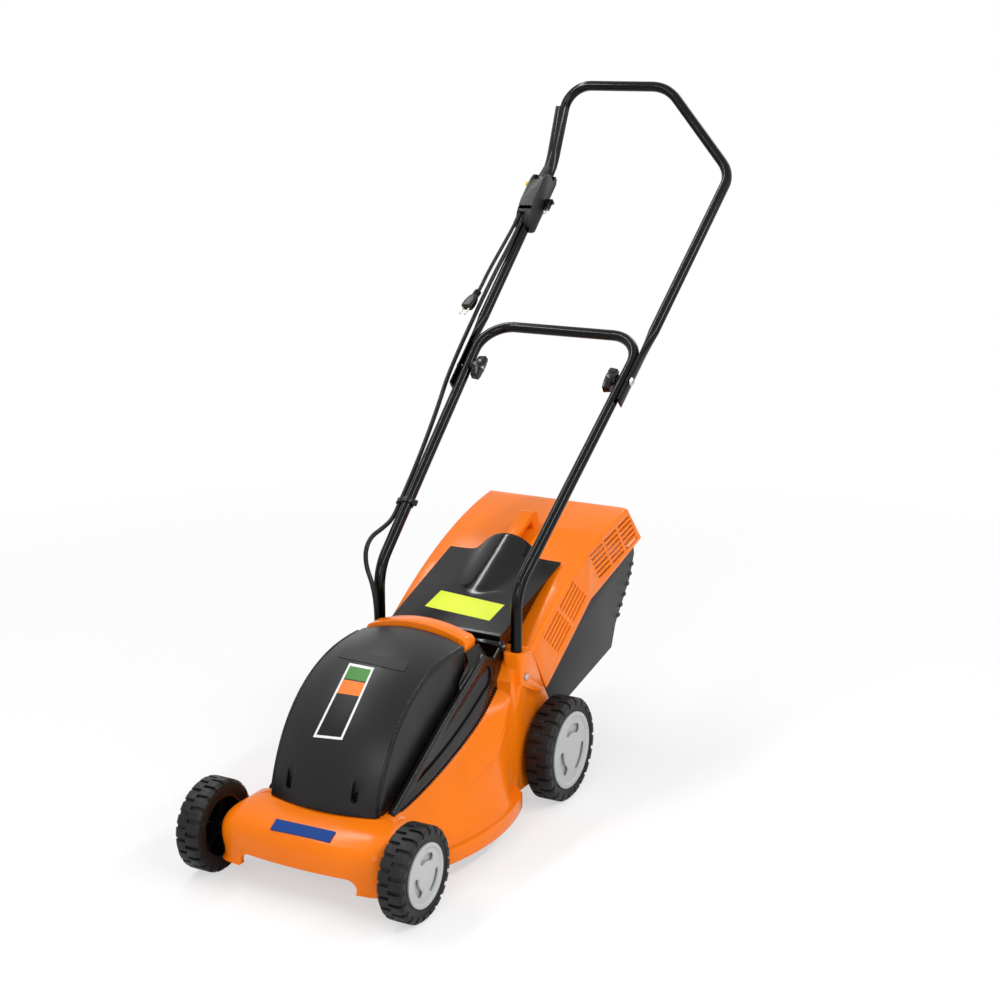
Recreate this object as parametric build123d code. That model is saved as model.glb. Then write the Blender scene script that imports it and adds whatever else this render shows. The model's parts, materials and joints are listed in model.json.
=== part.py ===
from build123d import *
import math
import os

# Push mower with an electric motor, millimetres. X runs across the machine (+X is the operator's left),
# Y to the rear and Z up from the ground. The model is laid out from the middle of the wheelbase and is
# moved at the end so that the middle of the overall length stands on the origin.

# Running gear
CUT_RADIUS = 175.0
WHEELBASE = 492.6
FRONT_WHEEL_R = 72.2
REAR_WHEEL_R = 87.8
FRONT_WHEEL_IN_X = 157.5
REAR_WHEEL_IN_X = 145.7
FRONT_TYRE_WIDTH = 42.5
REAR_TYRE_WIDTH = 45.3
FRONT_CAP_R = 48.5
REAR_CAP_R = 65.0
AXLE_R = 5.0
RUNNING_GAP = 0.06
FRONT_AXLE_Y = -WHEELBASE / 2
REAR_AXLE_Y = WHEELBASE / 2
TYRE_WALL = 22.6
TREAD_DEPTH = 4.5
LUGS_PER_ROW = 22
WHEELS = [
    ("front_left", FRONT_WHEEL_R, FRONT_TYRE_WIDTH, FRONT_CAP_R, FRONT_WHEEL_IN_X, FRONT_AXLE_Y, 1),
    ("front_right", FRONT_WHEEL_R, FRONT_TYRE_WIDTH, FRONT_CAP_R, FRONT_WHEEL_IN_X, FRONT_AXLE_Y, -1),
    ("rear_left", REAR_WHEEL_R, REAR_TYRE_WIDTH, REAR_CAP_R, REAR_WHEEL_IN_X, REAR_AXLE_Y, 1),
    ("rear_right", REAR_WHEEL_R, REAR_TYRE_WIDTH, REAR_CAP_R, REAR_WHEEL_IN_X, REAR_AXLE_Y, -1),
]

# Deck moulding
SKIRT_Z = 36.0
LEDGE_Z = 60.0
SKIRT_BULGE_X = 192.0
BUMPER_X = 150.0
BUMPER_Y = -293.0
BUMPER_BACK_Y = -185.0
SEAT_X = 105.0
SEAT_FRONT_Y = -200.0
SEAT_FRONT_Z = 125.0
CHAMBER_R = 181.0
CHAMBER_ROOF_Z = 88.0
BAY_FLOOR_Z = 100.0
BAY_X = 98.0
BAY_BACK_Y = 128.0
REAR_HOUSING_X = 137.6
CHUTE_X = 92.0
# Cross-sections of the deck's shoulder: y, crease x, crease z, foot x at the ledge
DOME_STATIONS = [
    (-205.0, 137.0, 106.0, 147.0),
    (-150.0, 142.0, 98.0, 157.0),
    (-90.0, 151.0, 96.0, 176.0),
    (-15.0, 154.5, 102.0, 184.0),
    (50.0, 147.5, 121.0, 177.0),
    (85.0, 141.0, 150.0, 163.0),
    (115.0, 137.5, 192.0, 149.0),
    (155.0, 137.6, 230.0, 139.5),
]
REAR_HOUSING = [(128, SKIRT_Z), (128, 236), (150, 262), (188, 278), (248, 188), (262, 168), (288, 112),
    (288, 64), (262, SKIRT_Z)]
CHUTE_PASSAGE = [(140, 20), (140, 300), (182, 300), (256, 189), (188, 70), (188, 20)]
AXLE_HOLLOW = [(204, 20), (204, 78), (238, 136), (256, 136), (282, 108), (282, 20)]
SIDE_HOLLOW = [(140, 20), (140, 180), (176, 218), (226, 170), (240, 140), (240, 20)]
# Flat panel beside the handle socket, over the rear wheel
SIDE_PANEL = [(144, 229), (144, 272), (183, 277), (227, 199), (213, 196.5), (190, 204)]
SIDE_PANEL_X = 146.6
SCREW_R = 3.0
SOCKET_SCREW_Z = 237.0

# Hood and cowl
HOOD_PIVOT_Y = 40.0
HOOD_EDGE_X = 97.0
HOOD_CROWN = 15.0
HOOD_WALL = 3.0
COWL_WALL_X = 106.6
COWL_OUT_X = 112.5
HOOD_EDGE = [(0, 255.0), (20, 237.0), (42, 219.0), (60, 204.0), (75, 194.0), (93, 190.0)]
HOOD_SCREW_X = 58.6
HOOD_SCREW_Z = 160.0
# Ridge of the cowl: y and height
RIDGE = [(-192.0, 130.0), (-45.0, 219.0), (89.0, 290.0), (115.0, 279.0), (146.0, 252.0)]
COWL_LIP_X = 101.9
COWL_ROLL = 13.0
# Shoulder of the cowl behind the hood: y, inner x and height
SHOULDER = [
    (20.0, 102.0, 264.0), (51.0, 102.0, 290.0), (54.0, 94.0, 302.0), (95.0, 94.0, 306.0),
    (108.0, 98.0, 290.0),
]

# Handle tubes
TUBE_R = 9.525
TUBE_WALL = 1.5
SOCKET_X = 130.0
SOCKET_Y = 161.0
SOCKET_R = 17.5
SOCKET_TOP_Z = 278.0
TUBE_END_Z = 206.0
BEND_Z = 381.0
CROSSBAR_Z = 732.0
LEG_SLOPE = 1.2065
CROSSBAR_Y = SOCKET_Y + LEG_SLOPE * (CROSSBAR_Z - BEND_Z)
CROSSBAR_CORNER_X = 158.5
BOLT_Z = 668.0
BOLT_Y = SOCKET_Y + LEG_SLOPE * (BOLT_Z - BEND_Z)
PADDLE_X = 166.6
PADDLE_THICK = 5.0
PADDLE_WIDE = 25.0
UPPER_END_Z = 637.0
SHOULDER_X = 185.0
SHOULDER_Z = 997.0
TOP_BAR_Y = 960.0
TOP_BAR_Z = 1151.0
TOP_BAR_RIGHT_X = -178.0
TOP_BAR_LEFT_X = 31.0
BOLT_R = 3.0
ROUND_Z = 742.0
FLAT_Z = 706.0
BOLT_HEAD_X = PADDLE_X + PADDLE_THICK / 2 + 0.6
BOLT_TIP_X = 121.0
KNOB_X0 = 124.0
KNOB_X1 = 143.2

# Flap over the discharge chute
HINGE_Y = 150.0
HINGE_Z = 286.0
HINGE_PIN_R = 3.0
FLAP_FRONT_Y = 162.0
FLAP_FRONT_Z = 304.0
FLAP_BACK_Y = 364.0
FLAP_BACK_Z = 372.0
FLAP_FRONT_X = 103.0
FLAP_BACK_X = 108.0
SCOOP_FRONT_Y = 262.0
SCOOP_BACK_Y = 378.0
SCOOP_X = 57.0
SCOOP_RISE = 28.0
FLAP_WALL = 3.0
SPRING_WIRE_R = 0.9
SPRING_COIL_R = 5.4
SPRING_TURNS = 5
SPRING_PITCH = 2.6
SPRING_X0 = 29.0

# Grass box
BOX_TOP_X = 141.0
BOX_SKIRT_X = 150.0
BOX_BODY_X = 138.0
BOX_WALL = 2.6
BOX_FRONT_Y = 197.0
SKIRT_LINE = [(231, 196), (401, 302), (613, 361)]
REAR_TOP = (562, 428)
LID_STATIONS = (170, 260, 350, 440, 530, 650)
# Louvre groups of a skirt: middle y and z, slope in degrees, columns, column pitch, slot length,
# lean of the group
LOUVRES = [((310, 296), 32.0, 2, 69.0, 61.0, 0.28), ((503, 371), 12.0, 3, 57.0, 50.0, 0.35)]
LOUVRE_ROWS = 6
LOUVRE_PITCH = 9.8
BODY_SIDE = [(247, 198), (298, 116), (536, 171), (548, 214), (598, 286), (612, 330), (604, 352), (404, 294)]
BODY_INSIDE = [
    (200, 260), (238, 216), (303, 121), (530, 175), (544, 218), (592, 288), (604, 332), (620, 380),
    (404, 340),
]

# Motor and blade
MOTOR_R = 56.0
MOTOR_TOP_Z = 226.0
MOTOR_PILOT_R = 34.0
MOTOR_SCREW_R = 2.5
MOTOR_SCREW_PITCH_R = 62.0
SHAFT_R = 7.5
BEARING_R = 17.5
BLADE_Z = 46.0
LOWER_BEARING_Z = BAY_FLOOR_Z - 6
UPPER_BEARING_Z = MOTOR_TOP_Z - 2
BLADE_BOLT_R = 4.0
BLADE_THICK = 3.6

# Switch group, cords and plug
SWITCH_Z = 933.0
SWITCH_X = 16.5
SWITCH_LOW = -72.0
PIVOT_Y = 48.0
PIVOT_N = 17.0
LEVER_SWING = 3.5
BUTTON_Y = 29.0
BUTTON_N = 22.3
BUTTON_R = 5.0
CASE_SCREW_R = 1.5
MOTOR_CORD_R = 4.0
PLUG_CORD_R = 3.5
CABLE_SPLIT_X = -184.8
CLIP_Z = 470.0
CLIP_CABLE_X = -152.2
GROMMET_X = -118.0
GROMMET_Y = 131.0
GROMMET_Z = 227.0
GROMMET_ROOM_R = 8.4
PLUG_PIN_X = 5.8
PLUG_PIN_R = 2.0
PLUG_LONG = 46.0

# The finished model stands with the middle of its overall length over the origin.
LENGTH_MID_Y = (FRONT_AXLE_Y - FRONT_WHEEL_R + TOP_BAR_Y + TUBE_R) / 2


def side_plane(x):
    """Plane across the machine at x, drawn on in (y, z)."""
    return Plane(origin=(x, 0, 0), x_dir=(0, 1, 0), z_dir=(1, 0, 0))


def front_plane(y):
    """Plane facing the front at y, drawn on in (x, z)."""
    return Plane(origin=(0, y, 0), x_dir=(1, 0, 0), z_dir=(0, -1, 0))


def side_prism(outline, x0, x1):
    """Solid between x0 and x1 from an outline in (y, z), given as points or as a face."""
    face = outline if isinstance(outline, (Face, Sketch)) else make_face(Polyline(*outline, close=True))
    return extrude(side_plane(x0) * face, amount=x1 - x0)


def front_prism(outline, y0, y1):
    """Solid between y0 and y1 from an outline in (x, z), given as points or as a face."""
    face = outline if isinstance(outline, (Face, Sketch)) else make_face(Polyline(*outline, close=True))
    return extrude(front_plane(y1) * face, amount=y1 - y0)


def plan_prism(face, z0, z1):
    """Solid between z0 and z1 from a face drawn in (x, y)."""
    return extrude(Pos(0, 0, z0) * face, amount=z1 - z0)


def block(x0, x1, y0, y1, z0, z1):
    """Box between two corners."""
    return Pos((x0 + x1) / 2, (y0 + y1) / 2, (z0 + z1) / 2) * Box(x1 - x0, y1 - y0, z1 - z0)


def rod_x(radius, x0, x1, y, z):
    """Round bar along X."""
    return Pos((x0 + x1) / 2, y, z) * Rot(0, 90, 0) * Cylinder(radius, x1 - x0)


def mirrored(shape):
    """The same shape on the other side of the machine."""
    return mirror(shape, about=Plane.YZ)


def both_sides(shape):
    """The shape and its mirror image in one."""
    return shape + mirrored(shape)


def bulged(start, end, height):
    """Middle point of an arc that stands off the line from start to end, to its left."""
    (ax, ay), (bx, by) = start, end
    length = math.hypot(bx - ax, by - ay)
    return ((ax + bx) / 2 - (by - ay) / length * height, (ay + by) / 2 + (bx - ax) / length * height)


def hood_seat_z(y):
    """Height of the edge where the black hood meets the deck: it climbs towards the handle sockets."""
    back = y - SEAT_FRONT_Y
    return SEAT_FRONT_Z + 0.08 * back + 0.00066 * back * back


# Deck moulding


def dome_section(y, crease_x, crease_z, foot_x):
    """Section of the shoulder at y: convex from the hood seat to the crease, hollow down to the ledge."""
    seat = (SEAT_X, hood_seat_z(y))
    crease = (crease_x, crease_z)
    foot = (foot_x, LEDGE_Z)
    base = (foot_x, SKIRT_Z + 4)
    upper = ThreePointArc(seat, bulged(seat, crease, 3.5), crease)
    lower = ThreePointArc(crease, bulged(crease, foot, -4.0), foot)
    right = Curve() + [upper, lower, Line(foot, base)]
    left = mirror(right, about=Plane.YZ)
    top = Line((-SEAT_X, seat[1]), seat)
    floor = Line(base, (-foot_x, base[1]))
    return front_plane(y) * make_face(Curve() + [*right.edges(), *left.edges(), top, floor])


def shoulder_hollow():
    """Space under one shoulder, open to the blade chamber, that leaves the moulding as a thin wall."""
    sections = []
    for y, crease_x, crease_z, foot_x in DOME_STATIONS:
        middle = ((crease_x + foot_x) / 2, (crease_z + LEDGE_Z) / 2)
        outline = Polyline(
            (BAY_X + 4, 20), (BAY_X + 4, hood_seat_z(y) - 10), (crease_x - 6, crease_z - 4),
            (middle[0] - 10, middle[1] - 3), (foot_x - 8, LEDGE_Z - 2), (foot_x - 8, 20), close=True)
        sections.append(front_plane(y) * make_face(outline))
    return loft(sections, ruled=True) & block(0, 300, -182, 122, 0, 400)


def bumper_plan(inset):
    """Plan of the front bumper, drawn in by the inset at its front and less at its sides."""
    side = BUMPER_X - 0.6 * inset
    front = BUMPER_Y + inset
    nose = ThreePointArc((-side, front + 14), (0, front), (side, front + 14))
    rest = Polyline((side, front + 14), (side, BUMPER_BACK_Y), (-side, BUMPER_BACK_Y), (-side, front + 14))
    plan = make_face(Curve() + [nose, *rest.edges()])
    return fillet(plan.vertices().group_by(Axis.Y)[0], 27)


def skirt_plan(inset):
    """Plan of the lower skirt: it bulges round the blade between the wheels and draws in beside them."""
    bulge_front = (168 - inset, -152)
    bulge_back = (171 - inset, 106)
    side = Curve() + [
        *Polyline((0, -200), (BUMPER_X - inset, -200), (BUMPER_X - inset, -180), bulge_front).edges(),
        ThreePointArc(bulge_front, (SKIRT_BULGE_X - inset, -15), bulge_back),
        *Polyline(bulge_back, (144 - inset, 132), (REAR_HOUSING_X - inset, 160), (0, 160)).edges(),
    ]
    return make_face(Curve() + [*side.edges(), *mirror(side, about=Plane.YZ).edges()])


def socket_boss():
    """Squared boss that holds one leg of the handle, running out into the housing below."""
    wide = 2 * SOCKET_R
    inner_x = COWL_OUT_X + 0.3
    sections = []
    for z, outer_x in ((176, 136.0), (232, SOCKET_X + SOCKET_R), (SOCKET_TOP_Z, SOCKET_X + SOCKET_R)):
        plan = RectangleRounded(outer_x - inner_x, wide, 8)
        sections.append(Pos((inner_x + outer_x) / 2, SOCKET_Y, z) * plan)
    return loft(sections, ruled=True)


def deck_outer():
    """Outside of the orange deck before it is hollowed."""
    dome = loft([dome_section(*station) for station in DOME_STATIONS])
    bumper_levels = [(0, SKIRT_Z), (0, 82), (5, 99), (18, 110.5), (66, 123.5)]
    bumper = loft([Pos(0, 0, z) * bumper_plan(inset) for inset, z in bumper_levels])
    skirt = plan_prism(skirt_plan(0), SKIRT_Z, LEDGE_Z)
    rear = side_prism(REAR_HOUSING, -REAR_HOUSING_X, REAR_HOUSING_X)
    panel = side_prism(SIDE_PANEL, 125, SIDE_PANEL_X)
    return dome + bumper + skirt + rear + both_sides(socket_boss()) + both_sides(panel)


def carry_bridge():
    """Arched strip behind the hood by which the deck is lifted, on two legs from the shoulders."""
    outer = Curve() + [
        *Polyline((104.5, 150), (104.5, 215), (92, 262), (92, 308)).edges(),
        ThreePointArc((92, 308), (89, 318), (80, 322)),
        ThreePointArc((80, 322), (0, 336), (-80, 322)),
        ThreePointArc((-80, 322), (-89, 318), (-92, 308)),
        *Polyline((-92, 308), (-92, 262), (-104.5, 215), (-104.5, 150)).edges(),
    ]
    inner = Curve() + [
        *Polyline((-94, 150), (-94, 205), (-80, 250), (-80, 306)).edges(),
        ThreePointArc((-80, 306), (0, 322), (80, 306)),
        *Polyline((80, 306), (80, 250), (94, 205), (94, 150)).edges(),
    ]
    ends = [Line((-104.5, 150), (-94, 150)), Line((94, 150), (104.5, 150))]
    return front_prism(make_face(Curve() + [*outer.edges(), *inner.edges(), *ends]), 60, 92)


def deck_shell():
    """The orange deck: shoulder, bumper, chute housing, handle sockets and carrying bridge."""
    chamber_side = Polyline((0, -5), (CHAMBER_R, -5), (CHAMBER_R, 60), (170, 72), (136, CHAMBER_ROOF_Z), (0,
        CHAMBER_ROOF_Z), close=True)
    chamber = revolve(Plane.XZ * make_face(chamber_side), Axis.Z)
    shell = deck_outer() - chamber
    inside_levels = [(4, 20), (4, 82), (9, 95), (22, 106), (40, 110)]
    nose_hollow = loft([Pos(0, 0, z) * bumper_plan(inset) for inset, z in inside_levels])
    shell -= nose_hollow - block(-200, 200, -196, -100, 0, 200)
    arch = RectangleRounded(2 * 104, 60, 18)
    shell -= front_prism(Pos(0, 57 - 30) * arch, -320, -215)
    shell -= block(-BAY_X, BAY_X, SEAT_FRONT_Y, BAY_BACK_Y, BAY_FLOOR_Z, 320)
    shell -= side_prism(CHUTE_PASSAGE, -CHUTE_X, CHUTE_X)
    shell -= side_prism(AXLE_HOLLOW, -132, 132)
    shell -= both_sides(side_prism(SIDE_HOLLOW, 97, 132))
    shell -= both_sides(shoulder_hollow())
    shell += carry_bridge()
    shell -= Pos(GROMMET_X, GROMMET_Y, GROMMET_Z - 0.2) * Cylinder(8.05, 60, align=(Align.CENTER,
        Align.CENTER, Align.MIN))
    shell -= both_sides(Pos(SOCKET_X, SOCKET_Y, TUBE_END_Z - 1) * Cylinder(
        TUBE_R + RUNNING_GAP, 100, align=(Align.CENTER, Align.CENTER, Align.MIN)))
    shell -= both_sides(rod_x(SCREW_R + RUNNING_GAP, 100, 160, SOCKET_Y, SOCKET_SCREW_Z))
    shell -= rod_x(AXLE_R + RUNNING_GAP, -220, 220, FRONT_AXLE_Y, FRONT_WHEEL_R)
    shell -= rod_x(AXLE_R + RUNNING_GAP, -220, 220, REAR_AXLE_Y, REAR_WHEEL_R)
    shell -= Pos(0, 0, 94) * Cylinder(MOTOR_PILOT_R + 0.3, 40)
    shell -= motor_screw_group(MOTOR_SCREW_R + RUNNING_GAP, CHAMBER_ROOF_Z - 10, BAY_FLOOR_Z + 10)
    return shell


def hinge_ear():
    """Ear at the back of the cowl that holds one end of the flap's hinge pin."""
    outline = Curve() + [
        *Polyline((141, HINGE_Z), (120, HINGE_Z - 14), (120, 236), (159, 236), (159, HINGE_Z)).edges(),
        ThreePointArc((159, HINGE_Z), (HINGE_Y, HINGE_Z + 9), (141, HINGE_Z)),
    ]
    return side_prism(make_face(outline), 106.7, COWL_OUT_X - 1)


# Electric motor, fan and blade


def motor_screw_group(radius, z0, z1):
    """Four upright bars on the motor's screw circle."""
    bar = Cylinder(radius, z1 - z0)
    spots = Pos(0, 0, (z0 + z1) / 2) * PolarLocations(MOTOR_SCREW_PITCH_R, 4, 45)
    return [spot * bar for spot in spots]


def motor_ring(outer, inner, z0, z1):
    """Upright ring on the blade axis."""
    return Pos(0, 0, (z0 + z1) / 2) * (Cylinder(outer, z1 - z0) - Cylinder(inner, z1 - z0))


def motor_disc(radius, z0, z1):
    """Upright round on the blade axis."""
    return Pos(0, 0, (z0 + z1) / 2) * Cylinder(radius, z1 - z0)


def motor_can():
    """Motor casing with its mounting flange, its pilot through the deck and a vented top."""
    can = motor_disc(MOTOR_R, BAY_FLOOR_Z, MOTOR_TOP_Z) + motor_disc(MOTOR_R + 14, BAY_FLOOR_Z,
        BAY_FLOOR_Z + 5)
    can += motor_disc(MOTOR_PILOT_R, CHAMBER_ROOF_Z + 2, BAY_FLOOR_Z)
    can -= motor_disc(MOTOR_R - 4, BAY_FLOOR_Z + 10, MOTOR_TOP_Z - 8)
    can -= motor_disc(BEARING_R + 0.02, LOWER_BEARING_Z, BAY_FLOOR_Z + 11)
    can -= motor_disc(BEARING_R + 0.02, MOTOR_TOP_Z - 9, UPPER_BEARING_Z)
    can -= motor_disc(SHAFT_R + 2, CHAMBER_ROOF_Z, MOTOR_TOP_Z + 5)
    vent = Pos(0, 0, MOTOR_TOP_Z) * PolarLocations(36, 8)
    can -= [spot * Cylinder(7, 40) for spot in vent]
    can -= motor_screw_group(MOTOR_SCREW_R + RUNNING_GAP, BAY_FLOOR_Z - 5, BAY_FLOOR_Z + 10)
    return can


def motor_screws():
    """Four pan-head screws that hold the motor flange to the deck."""
    heads = motor_screw_group(5, BAY_FLOOR_Z + 5, BAY_FLOOR_Z + 9)
    shanks = motor_screw_group(MOTOR_SCREW_R, CHAMBER_ROOF_Z + 1, BAY_FLOOR_Z + 5)
    return Compound([head + shank for head, shank in zip(heads, shanks)])


def cooling_fan():
    """Eight-bladed fan on the top of the shaft."""
    z0 = MOTOR_TOP_Z + 5
    fan = motor_ring(15, SHAFT_R + 0.05, z0, z0 + 16) + motor_ring(46, SHAFT_R + 4, z0, z0 + 2.5)
    vane = Pos(29, 0, z0 + 8) * Rot(0, 0, 25) * Box(30, 2.5, 15)
    return fan + [Rot(0, 0, 45 * i) * vane for i in range(8)]


def motor_shaft():
    """Shaft with its threaded lower end hollow for the blade bolt."""
    shaft = motor_disc(SHAFT_R, BLADE_Z + 6, MOTOR_TOP_Z + 22)
    return shaft - motor_disc(BLADE_BOLT_R + 0.05, BLADE_Z, BLADE_Z + 28)


def blade_adapter():
    """Flanged hub that carries the blade under the deck."""
    hub = motor_disc(17, BLADE_Z + BLADE_THICK, CHAMBER_ROOF_Z - 2) + motor_disc(27, BLADE_Z + BLADE_THICK,
        BLADE_Z + 10)
    return hub - motor_disc(SHAFT_R + 0.02, BLADE_Z + 6, 100) - motor_disc(BLADE_BOLT_R + 0.05, BLADE_Z, 60)


def blade():
    """Flat bar blade with two ground cutting edges and two turned-up sails."""
    half = 22.0
    top = BLADE_Z + BLADE_THICK
    tip_cut = CUT_RADIUS - 12
    plan = make_face(Polyline(
        (-CUT_RADIUS, -half), (tip_cut, -half), (CUT_RADIUS, -half + 14), (CUT_RADIUS, half),
        (-tip_cut, half), (-CUT_RADIUS, half - 14), close=True))
    bar = plan_prism(plan, BLADE_Z, top)
    edge = side_prism([(-half - 1, top + 1), (-half - 1, BLADE_Z + 0.5), (-half + 11, top + 1)], 92,
        CUT_RADIUS + 1)
    wing = [(half - 8, top), (half + 3, top + 11), (half + 6, top + 9), (half, BLADE_Z)]
    sail = side_prism(wing, 108, CUT_RADIUS)
    bar = bar + sail + Rot(0, 0, 180) * sail - edge - Rot(0, 0, 180) * edge
    return bar - motor_disc(BLADE_BOLT_R + 0.05, 0, 100)


def blade_bolt():
    """Hexagon bolt with a washer face that clamps the blade to the shaft."""
    head = plan_prism(RegularPolygon(9, 6), BLADE_Z - 9, BLADE_Z - 2.5)
    head += motor_disc(13, BLADE_Z - 2.5, BLADE_Z)
    return head + motor_disc(BLADE_BOLT_R, BLADE_Z, BLADE_Z + 26)


# Black hood and cowl

# Distance of the hood's side edge from its pivot line, by angle from the front


def hood_section(angle, edge, wall, root):
    """Crowned section of the hood on a plane through its pivot line."""
    side = HOOD_EDGE_X - wall
    top = edge - wall
    right = [
        Line((side + 4, root), (side, top - 10)),
        ThreePointArc((side, top - 10), (side - 2, top - 3), (side - 8, top + 0.5)),
    ]
    crown = ThreePointArc((side - 8, top + 0.5), (0, top + HOOD_CROWN), (8 - side, top + 0.5))
    half = Curve() + right
    base = Line((side + 4, root), (-side - 4, root))
    lean = math.radians(angle)
    plane = Plane(origin=(0, HOOD_PIVOT_Y, SEAT_FRONT_Z + 0.3), x_dir=(1, 0, 0),
                  z_dir=(0, -math.sin(lean), -math.cos(lean)))
    return plane * make_face(Curve() + [*half.edges(), *mirror(half, about=Plane.YZ).edges(), crown, base])


def ridge_z(y):
    """Height of the cowl's ridge beside the hood."""
    for (y0, z0), (y1, z1) in zip(RIDGE, RIDGE[1:]):
        if y <= y1 or (y1, z1) == RIDGE[-1]:
            return z0 + (y - y0) * (z1 - z0) / (y1 - y0)


def motor_hood():
    """Crowned cover over the motor with two deep screw recesses at its front."""
    outer = loft([hood_section(a, e, 0, 60) for a, e in HOOD_EDGE])
    inner = loft([hood_section(a, e, HOOD_WALL, 40) for a, e in HOOD_EDGE])
    hood = outer - inner
    cup = front_prism(Pos(HOOD_SCREW_X, HOOD_SCREW_Z) * Rot(0, 0, 90) * SlotOverall(40, 18), -250, -203)
    hood += both_sides(cup) & outer
    recess = Pos(HOOD_SCREW_X, HOOD_SCREW_Z) * Rot(0, 0, 90) * SlotOverall(33, 11)
    hood -= both_sides(front_prism(recess, -250, -207))
    hood -= both_sides(Pos(HOOD_SCREW_X, -205, HOOD_SCREW_Z - 8) * Rot(90, 0, 0) * Cylinder(2.3, 30))
    foot = [(-300, 0), (-300, 125.3), (-190, 125.3), (-45, 211), (89, 282), (120, 298), (120, 0)]
    return hood - side_prism(foot, -150, 150)


def hood_screws():
    """Two screws at the bottom of the hood's recesses."""
    head = Pos(HOOD_SCREW_X, -208.5, HOOD_SCREW_Z - 8) * Rot(90, 0, 0) * Cylinder(4.2, 3)
    shank = Pos(HOOD_SCREW_X, -199, HOOD_SCREW_Z - 8) * Rot(90, 0, 0) * Cylinder(2.2, 16)
    screw = head + shank
    return Compound([screw, mirrored(screw)])


def cowl_cheek():
    """One cheek: a wall that stands on the deck, with a rounded roll along its top towards the hood."""
    wall = side_prism([*RIDGE, (RIDGE[-1][0], 84), (RIDGE[0][0], 84)], COWL_WALL_X, COWL_OUT_X)
    roll = side_prism([*RIDGE, *[(y, z - COWL_ROLL) for y, z in reversed(RIDGE)]], COWL_LIP_X, COWL_WALL_X)
    cheek = wall + roll
    crest = cheek.edges().filter_by(lambda edge: all(abs(v.Z - ridge_z(v.Y)) < 0.01 for v in edge.vertices()))
    cheek = fillet(crest.filter_by(lambda edge: min(v.X for v in edge.vertices()) > COWL_OUT_X - 0.1), 4.0)
    crest = cheek.edges().filter_by(lambda edge: all(abs(v.Z - ridge_z(v.Y)) < 0.01 for v in edge.vertices()))
    return fillet(crest.filter_by(lambda edge: max(v.X for v in edge.vertices()) < COWL_LIP_X + 0.1), 2.6)


def cowl_shoulder():
    """Part of one cheek that climbs from the ridge to the carrying bridge behind the hood."""
    sections = []
    for y, x, z in SHOULDER:
        ridge = ridge_z(y)
        outline = Polyline((108, ridge - 3), (104, ridge + 2), (x + 1.5, z), (x, z - 2), (102.2, ridge - 3),
            close=True)
        sections.append(front_plane(y) * make_face(outline))
    return loft(sections, ruled=True)


def motor_cowl():
    """Black frame beside the hood: two cheeks with a raised ridge and a scooped side, joined at the rear."""
    cheek = cowl_cheek()
    scoop_edge = Curve() + [
        ThreePointArc((-128, 152), (-15, 184), (92, 232)),
        ThreePointArc((92, 232), (108, 255), (90, 272)),
        ThreePointArc((90, 272), (-20, 216), (-128, 152)),
    ]
    cheek -= side_prism(make_face(scoop_edge), COWL_OUT_X - 3.5, COWL_OUT_X + 5)
    back = block(-COWL_OUT_X, COWL_OUT_X, 117, 122, 150, 276)
    back -= block(-60, 60, 100, 130, 100, 262)
    cheek += cowl_shoulder() + hinge_ear()
    cowl = both_sides(cheek) + back - deck_outer() - carry_bridge()
    cowl -= Pos(GROMMET_X, GROMMET_Y, 200) * Cylinder(GROMMET_ROOM_R, 140, align=(Align.CENTER,
        Align.CENTER, Align.MIN))
    return cowl - rod_x(HINGE_PIN_R + RUNNING_GAP, -120, 120, HINGE_Y, HINGE_Z)


# Wheels and axles


def tyre(radius, width):
    """Moulded tyre about Z with two staggered rows of lugs that wrap the shoulder."""
    inner = radius - TYRE_WALL
    base = radius - TREAD_DEPTH
    side = Polyline((inner, 2), (inner, width - 2), (base - 6, width - 1), (base, width - 3), (base, 3),
        (base - 6, 1), close=True)
    body = revolve(Plane.XZ * make_face(side), Axis.Z)
    lug_side = Polyline((base - 8, 0), (base - 8, width), (radius - 5, width), (radius, width - 5),
                        (radius, 5), (radius - 5, 0), close=True)
    tread = revolve(Plane.XZ * make_face(lug_side), Axis.Z)
    gap = 360 / LUGS_PER_ROW
    slot = Box(24, 6.0, 0.56 * width, align=(Align.CENTER, Align.CENTER, Align.MIN))
    near = [Rot(0, 0, gap * i) * Pos(radius, 0, -0.05 * width) * slot for i in range(LUGS_PER_ROW)]
    far = [Rot(0, 0, gap * (i + 0.5)) * Pos(radius, 0, 0.49 * width) * slot for i in range(LUGS_PER_ROW)]
    return body + (tread - near - far)


def wheel_rim(radius, width):
    """Black wheel centre about Z: rim band, web, hub and six ribs on the side towards the deck."""
    band = radius - TYRE_WALL - 0.05
    web = 0.6 * width
    side = Polyline(
        (AXLE_R + RUNNING_GAP, 0), (12, 0), (12, web), (band - 4, web), (band - 4, 2), (band, 2), (band,
            width - 3),
        (band - 4, width - 3), (band - 4, web + 3.5), (12, web + 3.5), (12,
            width - 12), (AXLE_R + RUNNING_GAP, width - 12),
        close=True)
    rim = revolve(Plane.XZ * make_face(side), Axis.Z)
    rib_len = band - 2 - 11
    rib = Pos(11 + rib_len / 2, 0, web / 2 + 3) * Box(rib_len, 3, web - 5)
    return rim + [Rot(0, 0, 60 * i) * rib for i in range(6)]


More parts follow.
